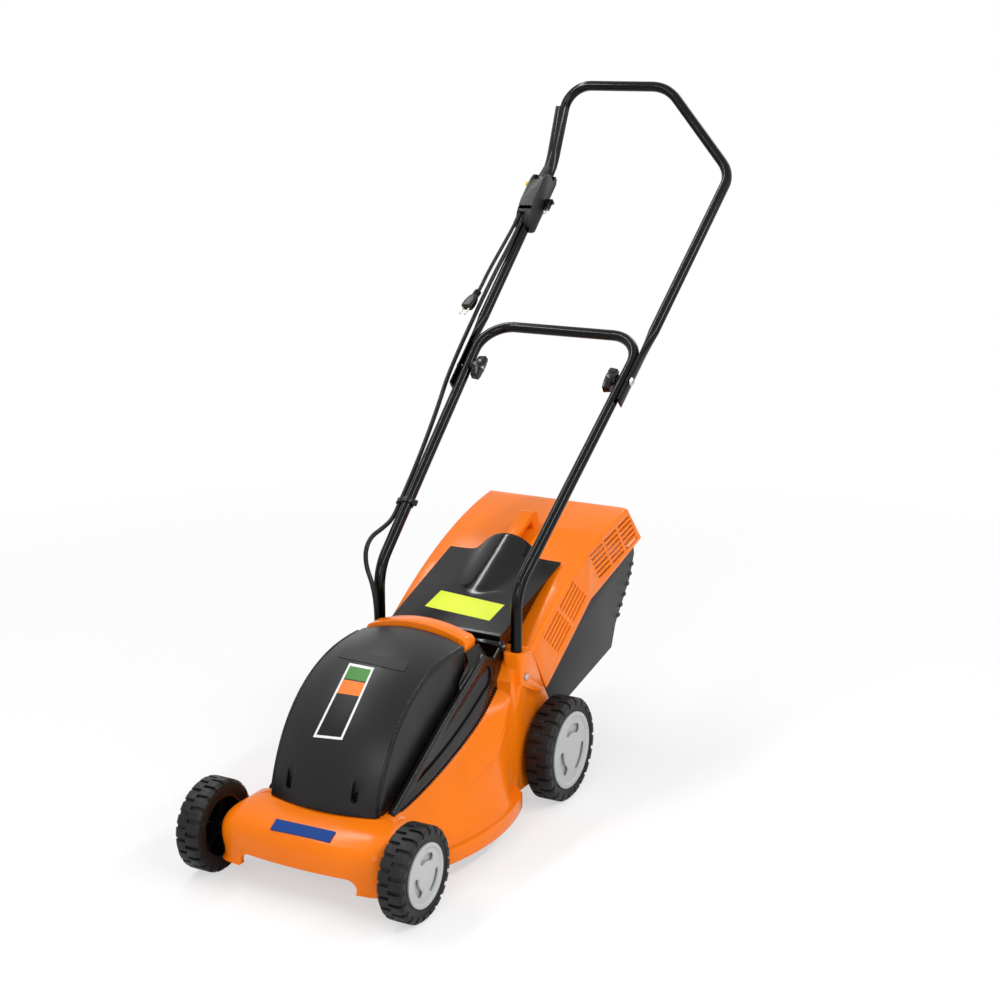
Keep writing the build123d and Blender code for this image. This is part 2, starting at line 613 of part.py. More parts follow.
def hub_cap(radius, width, cap_r):
    """Grey domed cap about Z with three kidney windows."""
    seat = width - 3
    side = Curve() + [
        *Polyline((0, seat + 1.6), (0, seat + 4.2)).edges(),
        ThreePointArc((0, seat + 4.2), (0.5 * cap_r, seat + 3.6), (0.84 * cap_r, seat + 1.7)),
        *Polyline((0.84 * cap_r, seat + 1.7), (0.9 * cap_r, seat + 4.2), (cap_r, seat + 3.2), (cap_r,
            seat + 0.3),
                  (0.8 * cap_r, seat + 0.3), (0, seat + 1.6)).edges(),
    ]
    cap = revolve(Plane.XZ * make_face(side), Axis.Z)
    window = SlotArc(CenterArc((0, 0), 0.58 * cap_r, 0, 52), 0.24 * cap_r)
    return cap - [Rot(0, 0, 120 * i + 30) * plan_prism(window, 0, width + 20) for i in range(3)]


def place_wheel(shape, inner_x, y, z, side):
    """Turn a wheel piece made about Z on to its axle, side +1 or -1."""
    placed = Pos(inner_x, y, z) * Rot(0, 90, 0) * shape
    return placed if side > 0 else mirrored(placed)


def axle(inner_x, width, y, z):
    """Plain steel rod through the deck."""
    end = inner_x + width - 7
    return rod_x(AXLE_R, -end, end, y, z)


def axle_caps():
    """Push-on retaining caps, one on each axle end."""
    spots = [
        (FRONT_WHEEL_IN_X + FRONT_TYRE_WIDTH, FRONT_AXLE_Y, FRONT_WHEEL_R),
        (REAR_WHEEL_IN_X + REAR_TYRE_WIDTH, REAR_AXLE_Y, REAR_WHEEL_R),
    ]
    caps = []
    for end, y, z in spots:
        cap = rod_x(9, end - 11.7, end - 5, y, z) - rod_x(AXLE_R + 0.02, end - 12, end - 7, y, z)
        caps += [cap, mirrored(cap)]
    return Compound(caps)


# Handle tubes

def lower_leg(z):
    """Centre of the lower handle's +X leg at height z above the bend."""
    out = (z - BEND_Z) / (CROSSBAR_Z - BEND_Z) * (CROSSBAR_CORNER_X - SOCKET_X)
    return (SOCKET_X + out, SOCKET_Y + LEG_SLOPE * (z - BEND_Z), z)


def upper_leg(z):
    """Centre of the upper handle's +X leg at height z."""
    out = (z - BOLT_Z) / (SHOULDER_Z - BOLT_Z) * (SHOULDER_X - PADDLE_X)
    return (PADDLE_X + out, SOCKET_Y + LEG_SLOPE * (z - BEND_Z), z)


def other_side(point):
    """A point's mirror image across the machine."""
    return (-point[0], point[1], point[2])


def tube(points, radii):
    """Round handle tube, hollow, along straight runs and bends."""
    path = FilletPolyline(*points, radius=radii)
    ring = Circle(TUBE_R) - Circle(TUBE_R - TUBE_WALL)
    return sweep(Plane(origin=path @ 0, z_dir=path % 0) * ring, path=path)


def lower_handle():
    """U-shaped lower handle: two legs from the deck sockets and a crossbar."""
    right = [(SOCKET_X, SOCKET_Y, TUBE_END_Z), (SOCKET_X, SOCKET_Y, BEND_Z), lower_leg(CROSSBAR_Z)]
    points = right + [other_side(point) for point in reversed(right)]
    frame = tube(points, [75, 58, 58, 75])
    frame -= both_sides(rod_x(SCREW_R + RUNNING_GAP, 100, 160, SOCKET_Y, SOCKET_SCREW_Z))
    return frame - both_sides(rod_x(BOLT_R + RUNNING_GAP, 120, 190, BOLT_Y, BOLT_Z))


def leg_plane(z):
    """Plane square to the upper handle's +X leg at height z."""
    along = Vector(*upper_leg(z + 1)) - Vector(*upper_leg(z))
    return Plane(origin=upper_leg(z), x_dir=(1, 0, 0), z_dir=along)


def flat_end():
    """Flattened lower end of an upper leg, pressed from the round tube, with its bolt hole."""
    flat = Ellipse(PADDLE_THICK / 2, PADDLE_WIDE / 2)
    neck = loft([leg_plane(ROUND_Z) * Circle(TUBE_R), leg_plane(FLAT_Z) * flat])
    reach = math.dist(upper_leg(FLAT_Z), upper_leg(UPPER_END_Z))
    paddle = extrude(leg_plane(FLAT_Z) * flat, amount=-reach)
    return neck + paddle - rod_x(BOLT_R + RUNNING_GAP, 120, 190, BOLT_Y, BOLT_Z)


def upper_handle():
    """Upper handle: two flattened lower ends, two legs and a lopsided loop with a level grip bar."""
    left = upper_leg(SHOULDER_Z)
    points = [
        upper_leg(ROUND_Z), left, (TOP_BAR_LEFT_X, TOP_BAR_Y, TOP_BAR_Z),
        (TOP_BAR_RIGHT_X, TOP_BAR_Y, TOP_BAR_Z), other_side(left), other_side(upper_leg(ROUND_Z)),
    ]
    return tube(points, [62, 75, 50, 110]) + both_sides(flat_end())


def handle_bolts():
    """Two domed bolts that join the upper handle to the lower one."""
    head = Pos(BOLT_HEAD_X, BOLT_Y, BOLT_Z) * Rot(0, 90, 0) * Cone(8, 4.5, 4, align=(Align.CENTER,
        Align.CENTER, Align.MIN))
    bolt = head + rod_x(BOLT_R, BOLT_TIP_X, BOLT_HEAD_X + 1, BOLT_Y, BOLT_Z)
    return Compound([bolt, mirrored(bolt)])


def clamp_knob():
    """Winged clamp knob on the +X bolt: a round boss with two tapered wings along the leg."""
    lean = math.degrees(math.atan2(1, LEG_SLOPE))
    wing = make_face(Polyline((-25, -7), (-12, -10), (12, -10), (25, -7), (23, 6), (12, 10), (-12, 10),
        (-23, 6), close=True))
    wing = fillet(wing.vertices(), 3)
    seat = Plane(origin=(KNOB_X0, BOLT_Y, BOLT_Z), x_dir=(0, 1, 0), z_dir=(1, 0, 0))
    knob = extrude(seat * Rot(0, 0, lean) * wing, amount=13, taper=6)
    knob += rod_x(11, KNOB_X0, KNOB_X1, BOLT_Y, BOLT_Z)
    return knob - rod_x(BOLT_R + RUNNING_GAP, 100, 160, BOLT_Y, BOLT_Z)


def socket_screws():
    """Two screws that hold the lower handle in the deck sockets."""
    head_x = SOCKET_X + SOCKET_R + 0.1
    head = rod_x(5.5, head_x, head_x + 2.6, SOCKET_Y, SOCKET_SCREW_Z)
    screw = head + rod_x(SCREW_R, SOCKET_X - SOCKET_R, head_x + 1, SOCKET_Y, SOCKET_SCREW_Z)
    return Compound([screw, mirrored(screw)])


# Flap over the chute

def flap_z(y):
    """Height of the flap's upper face."""
    return FLAP_FRONT_Z + (y - FLAP_FRONT_Y) * (FLAP_BACK_Z - FLAP_FRONT_Z) / (FLAP_BACK_Y - FLAP_FRONT_Y)


def scoop_body(inset):
    """Arched scoop in the flap that clears the box handle: it swells and rises to the rear."""
    sections = []
    for share in (0.0, 0.45, 1.0):
        y = SCOOP_FRONT_Y + share * (SCOOP_BACK_Y - SCOOP_FRONT_Y)
        half = 22 + (SCOOP_X - 22) * math.sqrt(share) - inset
        rise = 4 + (SCOOP_RISE - 4) * share - inset
        base = flap_z(y) - FLAP_WALL + 1.8 * share
        arch = ThreePointArc((half, base), (0, base + rise + FLAP_WALL), (-half, base))
        floor = Line((-half, base), (half, base))
        sections.append(front_plane(y) * make_face(Curve() + [arch, floor]))
    return loft(sections)


def flap():
    """Black flap: sloping top with a scoop, side walls, a front wall and two hinge knuckles."""
    plan = make_face(Polyline(
        (FLAP_FRONT_X, 156), (FLAP_BACK_X, FLAP_BACK_Y), (-FLAP_BACK_X, FLAP_BACK_Y), (-FLAP_FRONT_X,
            156), close=True))
    top = [(157, flap_z(157)), (FLAP_BACK_Y, FLAP_BACK_Z), (FLAP_BACK_Y, FLAP_BACK_Z - FLAP_WALL), (157,
        flap_z(157) - FLAP_WALL)]
    body = side_prism(top, -120, 120) & plan_prism(plan, 200, 420)
    side_low = [(y, box_top_z(y) + 2.2) for y in (340, 290, 240, 214)]
    side = [(157, flap_z(157) - 1), (350, flap_z(350) - 1), *side_low, (172, 281), (157, 274)]
    body += both_sides(side_prism(side, FLAP_FRONT_X - 4, FLAP_FRONT_X - 1))
    body += block(1 - FLAP_FRONT_X, FLAP_FRONT_X - 1, 156.5, 159.5, 274, flap_z(158) - 1)
    knuckle = rod_x(7.5, 46, FLAP_FRONT_X + 3, HINGE_Y, HINGE_Z) + block(46, 99, HINGE_Y, 158, HINGE_Z - 5,
        HINGE_Z + 6)
    body += both_sides(knuckle)
    body += scoop_body(0)
    body -= scoop_body(FLAP_WALL - 0.2)
    body -= scoop_body(FLAP_WALL - 0.2).moved(Pos(0, 3, -1.6))
    return body - rod_x(HINGE_PIN_R + RUNNING_GAP, -150, 150, HINGE_Y, HINGE_Z)


def hinge_pin():
    """Steel pin through the deck's ears and the flap's knuckles."""
    return rod_x(HINGE_PIN_R, -116, 116, HINGE_Y, HINGE_Z)


def biarc(start, start_way, end, end_way):
    """Two arcs that run smoothly from one point and direction to another."""
    chord = end - start
    ways = start_way + end_way
    room = 2 * (1 - start_way.dot(end_way))
    reach = (math.sqrt(chord.dot(ways) ** 2 + room * chord.dot(chord)) - chord.dot(ways)) / room
    lead_in = start + start_way * reach
    lead_out = end - end_way * reach
    middle = (lead_in + lead_out) / 2
    return [
        TangentArc(start, middle, tangent=start_way),
        TangentArc(middle, end, tangent=lead_out - lead_in),
    ]


def flap_spring():
    """Torsion spring on the hinge pin: one wire wound in quarter turns, with a straight leg at each end."""
    steps = 4 * SPRING_TURNS + 1
    places = []
    ways = []
    for step in range(steps + 1):
        angle = step * math.pi / 2
        places.append(Vector(SPRING_PITCH * step / 4, SPRING_COIL_R * math.cos(angle),
            SPRING_COIL_R * math.sin(angle)))
        across = SPRING_PITCH / (2 * math.pi)
        ways.append(Vector(across, -SPRING_COIL_R * math.sin(angle),
            SPRING_COIL_R * math.cos(angle)).normalized())
    turns = []
    for step in range(steps):
        turns += biarc(places[step], ways[step], places[step + 1], ways[step + 1])
    legs = [Line(places[0] - ways[0] * 9, places[0]), Line(places[-1], places[-1] + ways[-1] * 4)]
    print("flap_spring least gap between turns", round(SPRING_PITCH * math.cos(math.atan2(
        SPRING_PITCH, 2 * math.pi * SPRING_COIL_R)) - 2 * SPRING_WIRE_R, 2))
    path = Wire([legs[0].edge(), *[arc.edge() for arc in turns], legs[1].edge()])
    wire = sweep(Plane(origin=path @ 0, z_dir=path % 0) * Circle(SPRING_WIRE_R), path=path)
    return Pos(SPRING_X0, HINGE_Y, HINGE_Z) * wire


# Grass box


def box_top_z(y):
    """Height of the lid's upper edge: steep at the front, shallow at the rear."""
    back = y - 200
    return 271.5 + 0.715 * back - 0.00079 * back * back


def lid_section(y, inset):
    """Section of the lid at y: flat top, rounded edges and flared skirts."""
    top = box_top_z(y) - inset
    edge = BOX_TOP_X - inset
    flare = BOX_SKIRT_X - BOX_TOP_X
    low = top - 125
    right = Curve() + [
        Line((edge + flare * 1.3, low), (edge, top - 6)),
        ThreePointArc((edge, top - 6), (edge - 2, top - 1.8), (edge - 6.5, top)),
    ]
    roof = Line((edge - 6.5, top), (6.5 - edge, top))
    floor = Line((edge + flare * 1.3, low), (-edge - flare * 1.3, low))
    return front_plane(y) * make_face(Curve() + [*right.edges(), *mirror(right, about=Plane.YZ).edges(),
        roof, floor])


def lid_handle():
    """Arched grip along the middle of the lid."""
    def over(y, rise):
        return (y, box_top_z(y) + rise)
    outline = Polyline(
        over(334, -2), over(350, 22), over(446, 32), over(460, 24), over(466, -2),
        over(449, -2), over(438, 19), over(364, 12), over(356, -2), close=True)
    face = make_face(outline)
    face = fillet(face.vertices().filter_by(lambda v: v.Y > box_top_z(v.X) + 5), 7)
    return side_prism(face, -13, 13)


def vent_slots():
    """Louvre slots of one skirt: a front group of two columns and a rear group of three."""
    slots = []
    for (y, z), slope, columns, pitch, length, lean in LOUVRES:
        along = (math.cos(math.radians(slope)), math.sin(math.radians(slope)))
        for column in range(columns):
            for row in range(LOUVRE_ROWS):
                down = LOUVRE_PITCH * (row - (LOUVRE_ROWS - 1) / 2)
                shift = pitch * (column - (columns - 1) / 2) + lean * down
                spot = Pos(145, y + along[0] * shift + along[1] * down,
                    z + along[1] * shift - along[0] * down)
                slots.append(spot * Rot(slope, 0, 0) * Box(30, length, 4.4))
    return slots


def box_lid():
    """Orange lid: sloping top, flared skirts with louvres, a mouth under the flap and an arched grip."""
    outside = [(BOX_FRONT_Y, box_top_z(BOX_FRONT_Y)), *SKIRT_LINE, REAR_TOP, (470, 520), (BOX_FRONT_Y, 520)]
    inside = [(150, 100), (614, 100), (610, 356), (REAR_TOP[0] - 4, REAR_TOP[1]), (460, 520), (150, 520)]
    lid = loft([lid_section(y, 0) for y in LID_STATIONS]) & side_prism(outside, -200, 200)
    lid -= loft([lid_section(y, BOX_WALL) for y in LID_STATIONS]) & side_prism(inside, -200, 200)
    lid -= block(-98, 98, 150, 326, 240, 420)
    slots = vent_slots()
    lid -= slots + [mirrored(slot) for slot in slots]
    return lid + (lid_handle() - loft([lid_section(y, 0.5) for y in LID_STATIONS]))


def body_shape(outline, half, draft):
    """Box body from its side outline, narrowing towards the floor."""
    section = Polyline((half, 400), (half - draft, 110), (draft - half, 110), (-half, 400), close=True)
    return side_prism(outline, -200, 200) & front_prism(make_face(section), 180, 660)


def box_body():
    """Grey tub with a stepped rear wall, open to the lid and at the mouth."""
    tub = body_shape(BODY_SIDE, BOX_BODY_X, 14)
    for step in range(4):
        y = 556 + 14.5 * step
        z = 226 + 27 * step
        tub += body_shape([(y - 16, z - 22), (y + 3, z - 2), (y + 6, z + 8), (y - 10, z + 12)],
            BOX_BODY_X - 3, 14)
    return tub - body_shape(BODY_INSIDE, BOX_BODY_X - BOX_WALL, 14)


# Inside the motor

def stator():
    """Laminated ring with twelve winding slots, pressed into the motor casing."""
    z0 = BAY_FLOOR_Z + 24
    z1 = MOTOR_TOP_Z - 24
    ring = motor_ring(MOTOR_R - 4.05, 31, z0, z1)
    slot = Pos(36, 0, (z0 + z1) / 2) * Box(18, 7, z1 - z0 + 2)
    return ring - [Rot(0, 0, 30 * i) * slot for i in range(12)]


def rotor_core():
    """Laminated core on the shaft."""
    return motor_ring(30.2, SHAFT_R + 0.02, BAY_FLOOR_Z + 26, MOTOR_TOP_Z - 26)


def shaft_bearing(z0, z1):
    """Ball bearing drawn as one ring."""
    return motor_ring(BEARING_R, SHAFT_R + RUNNING_GAP, z0, z1)


# Switch box on the right leg, drawn in its own frame: x across, y up the leg, z out from the leg's front


def right_leg_frame(z):
    """Frame on the upper handle's -X leg at height z: x across, y up the leg, z out from its front."""
    low = Vector(*other_side(upper_leg(z)))
    along = (Vector(*other_side(upper_leg(z + 1))) - low).normalized()
    front = Vector(1, 0, 0).cross(along)
    return Plane(origin=low, x_dir=along.cross(front), z_dir=front)


def beside_leg(z, outward, front):
    """Point beside the upper handle's -X leg at height z, so far out from it and in front of it."""
    return right_leg_frame(z).from_local_coords((-outward, 0, front))


def case_screw_spots():
    """Where the four case screws stand, in the switch box's frame."""
    return [Pos(x, y, 0) for x in (-13.2, 13.2) for y in (-58, 30)]


def switch_box_front():
    """Front shell of the switch box: hollow, with a notch for the cords and a mouth for the lever."""
    outline = [
        (SWITCH_LOW, 0.15), (SWITCH_LOW, 8), (-62, 18), (-44, 26), (-22, 31), (36, 31), (50, 28), (58, 19),
        (58, 0.15),
    ]
    shell = side_prism(outline, -SWITCH_X, SWITCH_X)
    shell = fillet(shell.edges().filter_by(lambda e: abs(e.center().X) > 16 and e.center().Z > 12), 3)
    shell -= block(-13.5, 13.5, -42, 36, 11, 28.2)
    shell -= block(-9.6, 9.6, 34, 70, 10.6, 40)
    shell -= block(-15, 1, -90, -47.5, 9.55, 40)
    shell -= [Pos(-SWITCH_X, y, 24) * Box(5, 3.6, 20) for y in (-8, -16.5, -25, -33.5)]
    shell -= Pos(-SWITCH_X, BUTTON_Y, BUTTON_N) * Rot(0, 90, 0) * Cylinder(BUTTON_R + RUNNING_GAP, 10)
    shell -= Pos(0, PIVOT_Y, PIVOT_N) * Rot(0, 90, 0) * Cylinder(2 + RUNNING_GAP, 29)
    shell -= Rot(90, 0, 0) * Cylinder(TUBE_R + 0.15, 300)
    screw_hole = Pos(0, 0, 3) * Cylinder(CASE_SCREW_R + RUNNING_GAP, 10.4)
    shell -= [spot * screw_hole for spot in case_screw_spots()]
    return right_leg_frame(SWITCH_Z) * shell


def switch_box_rear():
    """Rear shell of the switch box, clamped round the back of the tube."""
    outline = [(SWITCH_LOW, -0.15), (SWITCH_LOW, -8), (-64, -13), (64, -13), (73, -8), (73, -0.15)]
    shell = side_prism(outline, -SWITCH_X, SWITCH_X)
    shell -= Rot(90, 0, 0) * Cylinder(TUBE_R + 0.15, 300)
    shell -= [spot * Cylinder(CASE_SCREW_R + RUNNING_GAP, 40) for spot in case_screw_spots()]
    shell -= [spot * Pos(0, 0, -13) * Cylinder(2.8, 5) for spot in case_screw_spots()]
    return right_leg_frame(SWITCH_Z) * shell


def switch_box_screws():
    """Four screws that hold the two shells together."""
    screw = Pos(0, 0, -11.4) * Cylinder(2.7, 1.7) + Pos(0, 0, -2) * Cylinder(CASE_SCREW_R, 19)
    frame = right_leg_frame(SWITCH_Z)
    return Compound([frame * (spot * screw) for spot in case_screw_spots()])


def microswitch():
    """Snap switch inside the box with its button and two blade terminals."""
    body = block(-5, 11, -34, -6, 12, 24) + block(2, 5, -12, -9, 24, 25.5)
    body += block(0, 6, -37, -34, 14, 15) + block(0, 6, -37, -34, 20, 21)
    return right_leg_frame(SWITCH_Z) * body


def lever_pin():
    """Pivot pin of the switch lever."""
    return right_leg_frame(SWITCH_Z) * Pos(0, PIVOT_Y, PIVOT_N) * Rot(0, 90, 0) * Cylinder(2, 28.6)


def switch_lever():
    """Half-round bail lever: it follows the tube's bend a finger's breadth in front of the grip."""
    frame = right_leg_frame(SWITCH_Z)
    corner = other_side(upper_leg(SHOULDER_Z))
    share = (1104 - SHOULDER_Z) / (TOP_BAR_Z - SHOULDER_Z)
    top_x = corner[0] + share * (TOP_BAR_RIGHT_X - corner[0])
    top_y = corner[1] + share * (TOP_BAR_Y - corner[1])
    top = (top_x, top_y, 1104)
    path = FilletPolyline(frame.from_local_coords((0, 60.5, 0)), corner, top, radius=110)
    half_ring = (Circle(13.5) - Circle(11)) & Pos(0, -10.5) * Rectangle(40, 19)
    shell = sweep(Plane(origin=path @ 0, x_dir=(1, 0, 0), z_dir=path % 0) * half_ring, path=path)
    arm_side = [(40, 12.6), (40, 19), (50, 22), (64, 18), (84, 14.5), (84, 13), (70, 11.4), (60, 11.4)]
    arm = side_prism(arm_side, -8, 8)
    taper = make_face(Polyline((8, 56), (14.5, 92), (24, 92), (24, 56), close=True))
    lever = shell - frame * both_sides(plan_prism(taper, -20, 40)) + frame * arm
    pivot = frame.from_local_coords((0, PIVOT_Y, PIVOT_N))
    lever -= frame * (Pos(0, PIVOT_Y, PIVOT_N) * Rot(0, 90, 0) * Cylinder(2 + RUNNING_GAP, 60))
    return lever.rotate(Axis(pivot, frame.x_dir), LEVER_SWING)


def lock_button():
    """Yellow lock-off button in the side of the switch box, kept in by a flange."""
    button = rod_x(BUTTON_R, -23, -6, BUTTON_Y, BUTTON_N) + rod_x(5.6, -13.2, -11.2, BUTTON_Y, BUTTON_N)
    return right_leg_frame(SWITCH_Z) * button


def cord_hook():
    """Block on the inner side of the switch box that the extension lead hangs from."""
    hook = block(SWITCH_X + 0.1, 27, -8, 13, -12.5, -1) + block(SWITCH_X + 0.1, 31, 9, 13, -12.5, -1)
    hook -= [block(x, x + 2.1, -9, -2, -8, -5.9) for x in (18, 24)]
    return right_leg_frame(SWITCH_Z) * hook


def hook_loop():
    """Wire loop under the cord hook."""
    bend = FilletPolyline((19, -2.2, -7), (19, -20, -7), (25, -20, -7), (25, -2.2, -7), radius=2.9)
    wire = sweep(Plane(origin=bend @ 0, z_dir=bend % 0) * Circle(1), path=bend)
    return right_leg_frame(SWITCH_Z) * wire


# Cables


def cord(name, points, radius):
    """Round cord along straight runs joined by tangent arcs, each as large as its two runs allow."""
    corners = [Vector(*point) for point in points]
    radii = []
    for before, here, after in zip(corners, corners[1:], corners[2:]):
        turn = (here - before).get_angle(after - here)
        shorter = min((here - before).length, (after - here).length)
        radii.append(0.45 * shorter / math.tan(math.radians(turn / 2)))
    print(name, "bend radii", [round(bend) for bend in radii])
    line = FilletPolyline(*corners, radius=radii)
    return sweep(Plane(origin=line @ 0, z_dir=line % 0) * Circle(radius), path=line)


def motor_cable_upper():
    """Motor cable from the switch box down the right leg to the handle joint."""
    beside = [
        (902.4, 4, 13.8), (872, 4.2, 13.9), (845, 6, 13.8), (815, 10.5, 11), (780, 16, 5), (745, 18.6,
            1.5), (708, 19.3, 0.5),
    ]
    points = [beside_leg(*spot) for spot in beside] + [(CABLE_SPLIT_X, BOLT_Y + 0.5, BOLT_Z + 0.5)]
    return cord("motor_cable_upper", points, MOTOR_CORD_R)


def motor_cable_lower():
    """Motor cable from the handle joint down the lower leg, in a bow to the deck."""
    along_leg = [(CABLE_SPLIT_X, BOLT_Z - 0.5), (-181, 642), (-173, 610), (-165, 570), (-157, 520),
        (CLIP_CABLE_X, CLIP_Z)]
    points = [(x, SOCKET_Y + LEG_SLOPE * (z - BEND_Z), z) for x, z in along_leg]
    points += [
        (-150.5, 238, 445), (-150, 203, 437), (-150, 170, 432), (-149.5, 150, 414), (-146, 146, 386),
        (-131, 141, 360), (-122, 137, 328), (-118.5, 133, 290), (GROMMET_X, GROMMET_Y, 255),
        (GROMMET_X, GROMMET_Y, GROMMET_Z + 0.4),
    ]
    return cord("motor_cable_lower", points, MOTOR_CORD_R)


def cable_clip():
    """Plastic clip round the lower leg that holds the motor cable."""
    centre = other_side(lower_leg(CLIP_Z))
    above = Vector(*other_side(lower_leg(CLIP_Z + 1)))
    along = above - Vector(*centre)
    seat = Plane(origin=centre, x_dir=(1, 0, 0), z_dir=along)
    reach = CLIP_CABLE_X - centre[0]
    outline = Circle(TUBE_R + 2.2) + Pos(reach, 0) * Circle(MOTOR_CORD_R + 2.6)
    outline += Pos(reach / 2, 0) * Rectangle(12, 8)
    outline += Pos(TUBE_R + 4, 0) * Rectangle(8, 5)
    bores = Circle(TUBE_R + 0.06) + Pos(reach, 0) * Circle(MOTOR_CORD_R + 0.9)
    return extrude(seat * (outline - bores), amount=5, both=True)


def deck_grommet():
    """Rubber bush where the motor cable enters the deck."""
    seat = Pos(GROMMET_X, GROMMET_Y, GROMMET_Z)
    bush = seat * Cylinder(8, 20, align=(Align.CENTER, Align.CENTER, Align.MIN))
    return bush - seat * Cylinder(MOTOR_CORD_R + 0.7, 60)


def plug_frame():
    """Frame of the mains plug: z from the cord's end towards the pins."""
    start = Vector(*beside_leg(779, 29.5, 8))
    toward = Vector(*beside_leg(738, 36, 15.5)) - start
    return Plane(origin=start, x_dir=(1, 0, 0), z_dir=toward)


def plug_cord():
    """Short mains lead from the switch box to the plug."""
    beside = [(902.4, 11.2, 18.6), (882, 11.4, 18.7), (854, 15, 18), (826, 21, 14.8), (804, 25.8, 11.2)]
    points = [beside_leg(*spot) for spot in beside]
    points += [plug_frame().from_local_coords((0, 0, z)) for z in (-8, 4)]
    return cord("plug_cord", points, PLUG_CORD_R)


def plug_body():
    """Two-pin plug with a ringed bend relief."""
    relief = Cylinder(4.8, 14, align=(Align.CENTER, Align.CENTER, Align.MIN))
    relief += [Pos(0, 0, z) * Cylinder(6.8, 2) for z in (2, 6, 10)]
    grip = loft([Pos(0, 0, 13) * RectangleRounded(13, 11, 5), Pos(0, 0, 24) * RectangleRounded(20, 14, 5),
                 Pos(0, 0, PLUG_LONG) * RectangleRounded(22, 14, 5)])
    body = relief + grip - Cylinder(PLUG_CORD_R + 0.4, 8.4)
    body -= [Pos(x, 0, PLUG_LONG) * Cylinder(PLUG_PIN_R + 0.03, 20) for x in (-PLUG_PIN_X, PLUG_PIN_X)]
    return plug_frame() * body


def plug_pins():
    """Two round brass pins, each with a thinner sleeved root."""
    root = Pos(0, 0, PLUG_LONG - 0.4) * Cylinder(PLUG_PIN_R - 0.15, 18.6)
    tip = Pos(0, 0, PLUG_LONG + 14.1) * Cylinder(PLUG_PIN_R, 10.4)
    pin = root + chamfer(tip.edges().group_by(Axis.Z)[-1], 0.8)
    return Compound([plug_frame() * Pos(x, 0, 0) * pin for x in (-PLUG_PIN_X, PLUG_PIN_X)])


# Every piece goes to its own file.


def all_parts():
    """Every node by name."""
    parts = {
        "deck_shell": deck_shell(),
        "motor_hood": motor_hood(),
        "hood_screws": hood_screws(),
        "motor_cowl": motor_cowl(),
        "motor_can": motor_can(),
        "motor_screws": motor_screws(),
        "stator": stator(),
        "lower_bearing": shaft_bearing(LOWER_BEARING_Z + 0.1, LOWER_BEARING_Z + 12),
        "upper_bearing": shaft_bearing(MOTOR_TOP_Z - 9, UPPER_BEARING_Z - 0.1),
        "motor_shaft": motor_shaft(),
        "rotor_core": rotor_core(),
        "cooling_fan": cooling_fan(),
        "blade_adapter": blade_adapter(),
        "blade": blade(),
        "blade_bolt": blade_bolt(),
        "front_axle": axle(FRONT_WHEEL_IN_X, FRONT_TYRE_WIDTH, FRONT_AXLE_Y, FRONT_WHEEL_R),
        "rear_axle": axle(REAR_WHEEL_IN_X, REAR_TYRE_WIDTH, REAR_AXLE_Y, REAR_WHEEL_R),
        "axle_caps": axle_caps(),
        "lower_handle": lower_handle(),
        "socket_screws": socket_screws(),
        "upper_handle": upper_handle(),
        "handle_bolts": handle_bolts(),
        "left_knob": clamp_knob(),
        "right_knob": mirrored(clamp_knob()),
        "flap": flap(),
        "hinge_pin": hinge_pin(),
        "flap_spring": flap_spring(),
        "box_lid": box_lid(),
        "box_body": box_body(),
        "switch_box_front": switch_box_front(),
        "switch_box_rear": switch_box_rear(),
        "switch_box_screws": switch_box_screws(),
        "microswitch": microswitch(),
        "lever_pin": lever_pin(),
        "switch_lever": switch_lever(),
        "lock_button": lock_button(),
        "cord_hook": cord_hook(),
        "hook_loop": hook_loop(),
        "motor_cable_upper": motor_cable_upper(),
        "motor_cable_lower": motor_cable_lower(),
        "cable_clip": cable_clip(),
        "deck_grommet": deck_grommet(),
        "plug_cord": plug_cord(),
        "plug_body": plug_body(),
        "plug_pins": plug_pins(),
    }
    for name, radius, width, cap_r, inner_x, axle_y, side in WHEELS:
        seat = (inner_x, axle_y, radius, side)
        parts[name + "_tyre"] = place_wheel(tyre(radius, width), *seat)
        parts[name + "_rim"] = place_wheel(wheel_rim(radius, width), *seat)
        parts[name + "_hub_cap"] = place_wheel(hub_cap(radius, width, cap_r), *seat)
    return parts


if __name__ == "__main__":
    os.makedirs("parts", exist_ok=True)
    for name, shape in all_parts().items():
        export_step(Pos(0, -LENGTH_MID_Y, 0) * shape, f"parts/{name}.step")
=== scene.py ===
"""Electric push mower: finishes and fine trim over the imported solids, in metres, Z up, front towards -Y."""

